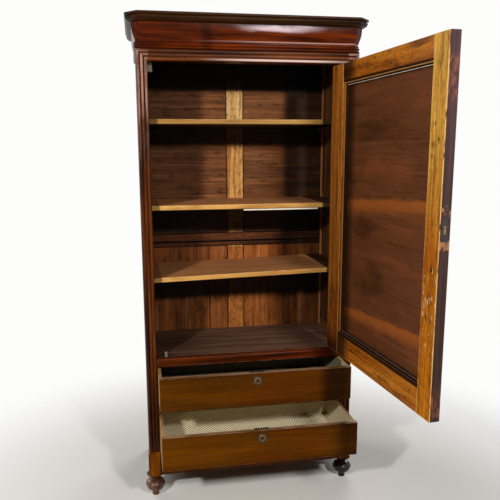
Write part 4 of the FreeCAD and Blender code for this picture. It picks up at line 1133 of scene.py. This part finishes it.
class CUPBOARD_OT_back(bpy.types.Operator):
    """Finishes the frames, panels and boards of the back"""

    bl_idname = "cupboard.back"
    bl_label = "Back"

    def execute(self, context):
        dress("back_upper", "back_upper_panels", along=ALONG_X)
        dress("back_lower", "back_lower_boards", along=ALONG_Z)
        dress("back_rail", "back_rails")
        dress("muntin", "back_muntins")
        self.joint_lip()
        return {"FINISHED"}

    def joint_lip(self):
        """A thin lip behind the joint of the back's two frames, which keeps the light out."""
        heights = []
        for rail in solids_of(NODES["back_rails"].data):
            levels = [spot[2] for triangle in rail for spot in triangle]
            heights.append((min(levels), max(levels)))
        heights.sort()
        joint = (heights[1][1] + heights[2][0]) / 2
        low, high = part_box("back_rails")
        size = Vector((high.x - low.x - 0.004, 0.004, 0.010))
        middle = Vector(((low.x + high.x) / 2, high.y - 0.004, joint))
        shape = bmesh.new()
        bmesh.ops.create_cube(shape, size=1.0)
        for corner in shape.verts:
            corner.co = middle + Vector([way * reach for way, reach in zip(corner.co, size)])
        bmesh.ops.bevel(
            shape, geom=shape.edges[:], offset=MOULDED_ARRIS, segments=2, profile=0.5, affect="EDGES")
        mesh = mesh_of(shape, "back_joint_lip")
        mark_grain(mesh, Matrix.Identity(3), ALONG_X, NO_RIM, 3)
        mesh.materials.append(finish_of("back_rail"))
        carried(new_piece(mesh), "back_rails")


class CUPBOARD_OT_shelves(bpy.types.Operator):
    """Finishes the shelves, their cleats, the lath, the door's stops and the cupboard's floor"""

    bl_idname = "cupboard.shelves"
    bl_label = "Shelves"

    def execute(self, context):
        for node, shade in SHELF_SHADE.items():
            dress("shelf", node, rim=shade, width=context.scene.cupboard_sizes.worn_arris)
        dress("cleat", "shelf_cleats")
        dress("floor", "cupboard_floor")
        dress("lath", "shelf_lath", width=REED_ARRIS)
        dress("pale", "door_stop_peg", along=ALONG_Z, width=MOULDED_ARRIS)
        dress("pale", "door_stop_block", along=ALONG_Z)
        return {"FINISHED"}


class CUPBOARD_OT_door(bpy.types.Operator):
    """Finishes the door's frame, its panel, the beads inside and the moulding outside"""

    bl_idname = "cupboard.door"
    bl_label = "Door"

    def execute(self, context):
        worn = context.scene.cupboard_sizes.worn_arris
        dress("hinge_stile", "door_hinge_stile", rim=1.0, width=worn)
        dress("lock_stile", "door_lock_stile", rim=-1.0, width=worn)
        dress("door_rail", "door_top_rail", rim=1.0, width=worn)
        dress("door_rail", "door_bottom_rail", rim=-1.0, width=worn)
        dress("panel", "door_panel", along=ALONG_X)
        dress("bead", "door_inner_beads", width=REED_ARRIS)
        dress("mahogany", "door_front_moulding", width=MOULDED_ARRIS)
        return {"FINISHED"}


class CUPBOARD_OT_drawers(bpy.types.Operator):
    """Finishes both drawers, their runners and their paper linings"""

    bl_idname = "cupboard.drawers"
    bl_label = "Drawers"

    def execute(self, context):
        for drawer in ("upper_drawer", "lower_drawer"):
            dress("drawer_front", drawer + "_front", width=DRAWER_ARRIS)
            dress("drawer", drawer + "_sides", drawer + "_back", drawer + "_bottom")
            dress("paper", drawer + "_lining", width=SHARP)
        dress("drawer", "drawer_runners", "drawer_guides")
        return {"FINISHED"}


class CUPBOARD_OT_fittings(bpy.types.Operator):
    """Finishes the hinges, the locks, their bolts and keyhole plates, and sets their screws"""

    bl_idname = "cupboard.fittings"
    bl_label = "Fittings"

    def execute(self, context):
        dress("iron", "hinge_post_halves", "hinge_door_halves", width=METAL_ARRIS)
        dress("iron", "door_lock", "upper_drawer_lock", "lower_drawer_lock", width=METAL_ARRIS)
        dress("brass", "lock_keeper", "door_bolt", width=METAL_ARRIS)
        dress("brass", "upper_drawer_bolt", "lower_drawer_bolt", width=METAL_ARRIS)
        for node in ("door_escutcheon", "upper_drawer_escutcheon", "lower_drawer_escutcheon"):
            dress("plate", node, width=METAL_ARRIS)
            trim_keyhole_plate(node)
        self.lock_screws()
        self.hinge_screws()
        return {"FINISHED"}

    def lock_screws(self):
        """Two screws in the faceplate of each lock and in the keeper."""
        for name, node, centred, side, finish, seed in (
                ("door_lock_screws", "door_lock", "door_bolt", -1, "iron", 2),
                ("keeper_screws", "lock_keeper", "lock_keeper", 1, "brass", 3)):
            low, high = own_box(node)
            face = low.x if side < 0 else high.x
            middle = sum(corner.y for corner in own_box(centred)) / 2
            spots = [(face, middle, z) for z in (low.z + FACEPLATE_INSET, high.z - FACEPLATE_INSET)]
            set_screws(name, node, spots, (side, 0, 0), finish, seed)
        for drawer, seed in (("upper_drawer", 5), ("lower_drawer", 7)):
            low, high = own_box(drawer + "_lock")
            middle = (low.y + high.y) / 2
            spots = [(x, middle, high.z) for x in (low.x + FACEPLATE_INSET, high.x - FACEPLATE_INSET)]
            set_screws(drawer + "_lock_screws", drawer + "_lock", spots, (0, 0, 1), "iron", seed)

    def hinge_screws(self):
        """Three screws through the leaf of each hinge on the post."""
        for i, triangles in enumerate(solids_of(NODES["hinge_post_halves"].data)):
            spots = [Vector(spot) for triangle in triangles for spot in triangle]
            face = max(spot.x for spot in spots) - LEAF_DEPTH
            rear = max(spot.y for spot in spots)
            levels = [spot.z for spot in spots if spot.y > rear - 0.0005]
            low, tall = min(levels), max(levels) - min(levels)
            places = [(face, rear - inset, low + tall * share) for share, inset in LEAF_SCREWS]
            set_screws(
                "hinge_screws_%d" % (i + 1), "hinge_post_halves", places, (-1, 0, 0), "iron", 11 + i)


class CUPBOARD_OT_stage(bpy.types.Operator):
    """Sets out the plain floor, the lamps, the light from all round and the camera"""

    bl_idname = "cupboard.stage"
    bl_label = "Stage"

    def execute(self, context):
        look = context.scene.cupboard_stage
        self.ground(look)
        self.lamp("left lamp", (-2.0, -2.42, 2.30), 0.24, look.left_lamp)
        self.lamp("right lamp", (0.82, -2.79, 2.34), 0.24, look.right_lamp)
        self.lamp("right rear lamp", (1.6, 3.2, 2.4), 2.2, look.rear_lamp)
        self.lamp("left rear lamp", (-2.6, 2.6, 2.2), 2.2, look.rear_lamp)
        self.sky(context.scene, look)
        self.camera(context.scene, look)
        context.scene.view_settings.view_transform = "Standard"
        return {"FINISHED"}

    def ground(self, look):
        """A plain floor that keeps the cupboard's shadow and turns into the backdrop further off."""
        reach = 14.0
        corners = [(-reach, -reach, 0), (reach, -reach, 0), (reach, reach, 0), (-reach, reach, 0)]
        mesh = bpy.data.meshes.new("ground")
        mesh.from_pydata(corners, [], [(0, 1, 2, 3)])
        floor = new_piece(mesh)
        recipe = Recipe(new_material("pale floor"))
        place = recipe.spot()
        x, y, _ = recipe.parts(place)
        colour = recipe.mix(recipe.noise(place, 1.3) * 0.3, tuple(look.ground), dimmed(look.ground, 0.92))
        mesh.materials.append(recipe.finish(Base_Color=colour, Roughness=0.8, Specular_IOR_Level=0.05))
        own = Wire(recipe, recipe.tree.nodes["Principled BSDF"].outputs[0])
        glow = recipe.add("ShaderNodeEmission", None, {"Color": tuple(look.backdrop), "Strength": 1.0})
        away = recipe.band((x * x + y * y) ** 0.5, 0.75, 2.0)
        recipe.surface(recipe.seen() * away, own, glow, "Material Output")

    def lamp(self, name, place, size, power):
        """A round lamp that looks at the middle of the cupboard."""
        data = bpy.data.lights.new(name, "AREA")
        data.shape = "DISK"
        data.size = size
        data.energy = power
        lamp = bpy.data.objects.new(name, data)
        bpy.context.scene.collection.objects.link(lamp)
        lamp.location = place
        aim = Vector((0.0, 0.15, 1.05)) - Vector(place)
        lamp.rotation_euler = aim.to_track_quat("-Z", "Y").to_euler()

    def sky(self, scene, look):
        """A little light from all round, and a white backdrop for what is seen."""
        scene.world = bpy.data.worlds.new("studio")
        scene.world.use_nodes = True
        recipe = Recipe(scene.world)
        soft, white = [
            recipe.add("ShaderNodeBackground", None, {"Color": colour, "Strength": strength})
            for colour, strength in (((0.96, 0.97, 1.0), look.sky), (tuple(look.backdrop), 1.0))]
        recipe.surface(recipe.seen(), soft, white, "World Output")

    def camera(self, scene, look):
        """A camera where the photograph was taken from."""
        data = bpy.data.cameras.new("eye")
        data.sensor_width = SENSOR
        data.lens = look.lens
        data.shift_x = SHIFT_ACROSS
        data.shift_y = SHIFT_UP
        eye = bpy.data.objects.new("eye", data)
        scene.collection.objects.link(eye)
        level = math.cos(look.pitch)
        ahead = Vector((math.sin(look.heading) * level, math.cos(look.heading) * level, math.sin(look.pitch)))
        right = Vector((math.cos(look.heading), -math.sin(look.heading), 0.0))
        up = right.cross(ahead)
        lean_right = right * math.cos(look.roll) + up * math.sin(look.roll)
        lean_up = up * math.cos(look.roll) - right * math.sin(look.roll)
        pose = Matrix((lean_right, lean_up, -ahead)).transposed().to_4x4()
        pose.translation = Vector(look.eye)
        eye.matrix_world = pose
        scene.camera = eye


class CUPBOARD_PT_sidebar(bpy.types.Panel):
    """Lists the pieces of the cupboard in the sidebar"""

    bl_idname = "CUPBOARD_PT_sidebar"
    bl_label = "Cupboard"
    bl_space_type = "VIEW_3D"
    bl_region_type = "UI"
    bl_category = "Cupboard"

    def draw(self, context):
        for operator in OPERATORS:
            self.layout.operator(operator.bl_idname)
        for settings in GROUPS:
            group = getattr(context.scene, settings)
            for name in group.bl_rna.properties.keys():
                if name not in ("rna_type", "name"):
                    self.layout.prop(group, name)


GROUPS = {
    "cupboard_sizes": CupboardSizes, "cupboard_finishes": CupboardFinishes, "cupboard_stage": CupboardStage}
OPERATORS = (
    CUPBOARD_OT_front_frame, CUPBOARD_OT_cornice, CUPBOARD_OT_carcass, CUPBOARD_OT_back, CUPBOARD_OT_shelves,
    CUPBOARD_OT_door, CUPBOARD_OT_drawers, CUPBOARD_OT_fittings, CUPBOARD_OT_stage,
)
CLASSES = (*GROUPS.values(), *OPERATORS, CUPBOARD_PT_sidebar)


def register():
    """Makes the settings, the operators and the panel known to Blender."""
    for known in CLASSES:
        bpy.utils.register_class(known)
    for settings, group in GROUPS.items():
        setattr(bpy.types.Scene, settings, bpy.props.PointerProperty(type=group))


def unregister():
    """Takes them out again."""
    for settings in GROUPS:
        delattr(bpy.types.Scene, settings)
    for known in reversed(CLASSES):
        bpy.utils.unregister_class(known)


def main():
    """Dresses the whole cupboard."""
    register()
    for operator in OPERATORS:
        family, name = operator.bl_idname.split(".")
        getattr(getattr(bpy.ops, family), name)()


if __name__ == "__main__":
    main()
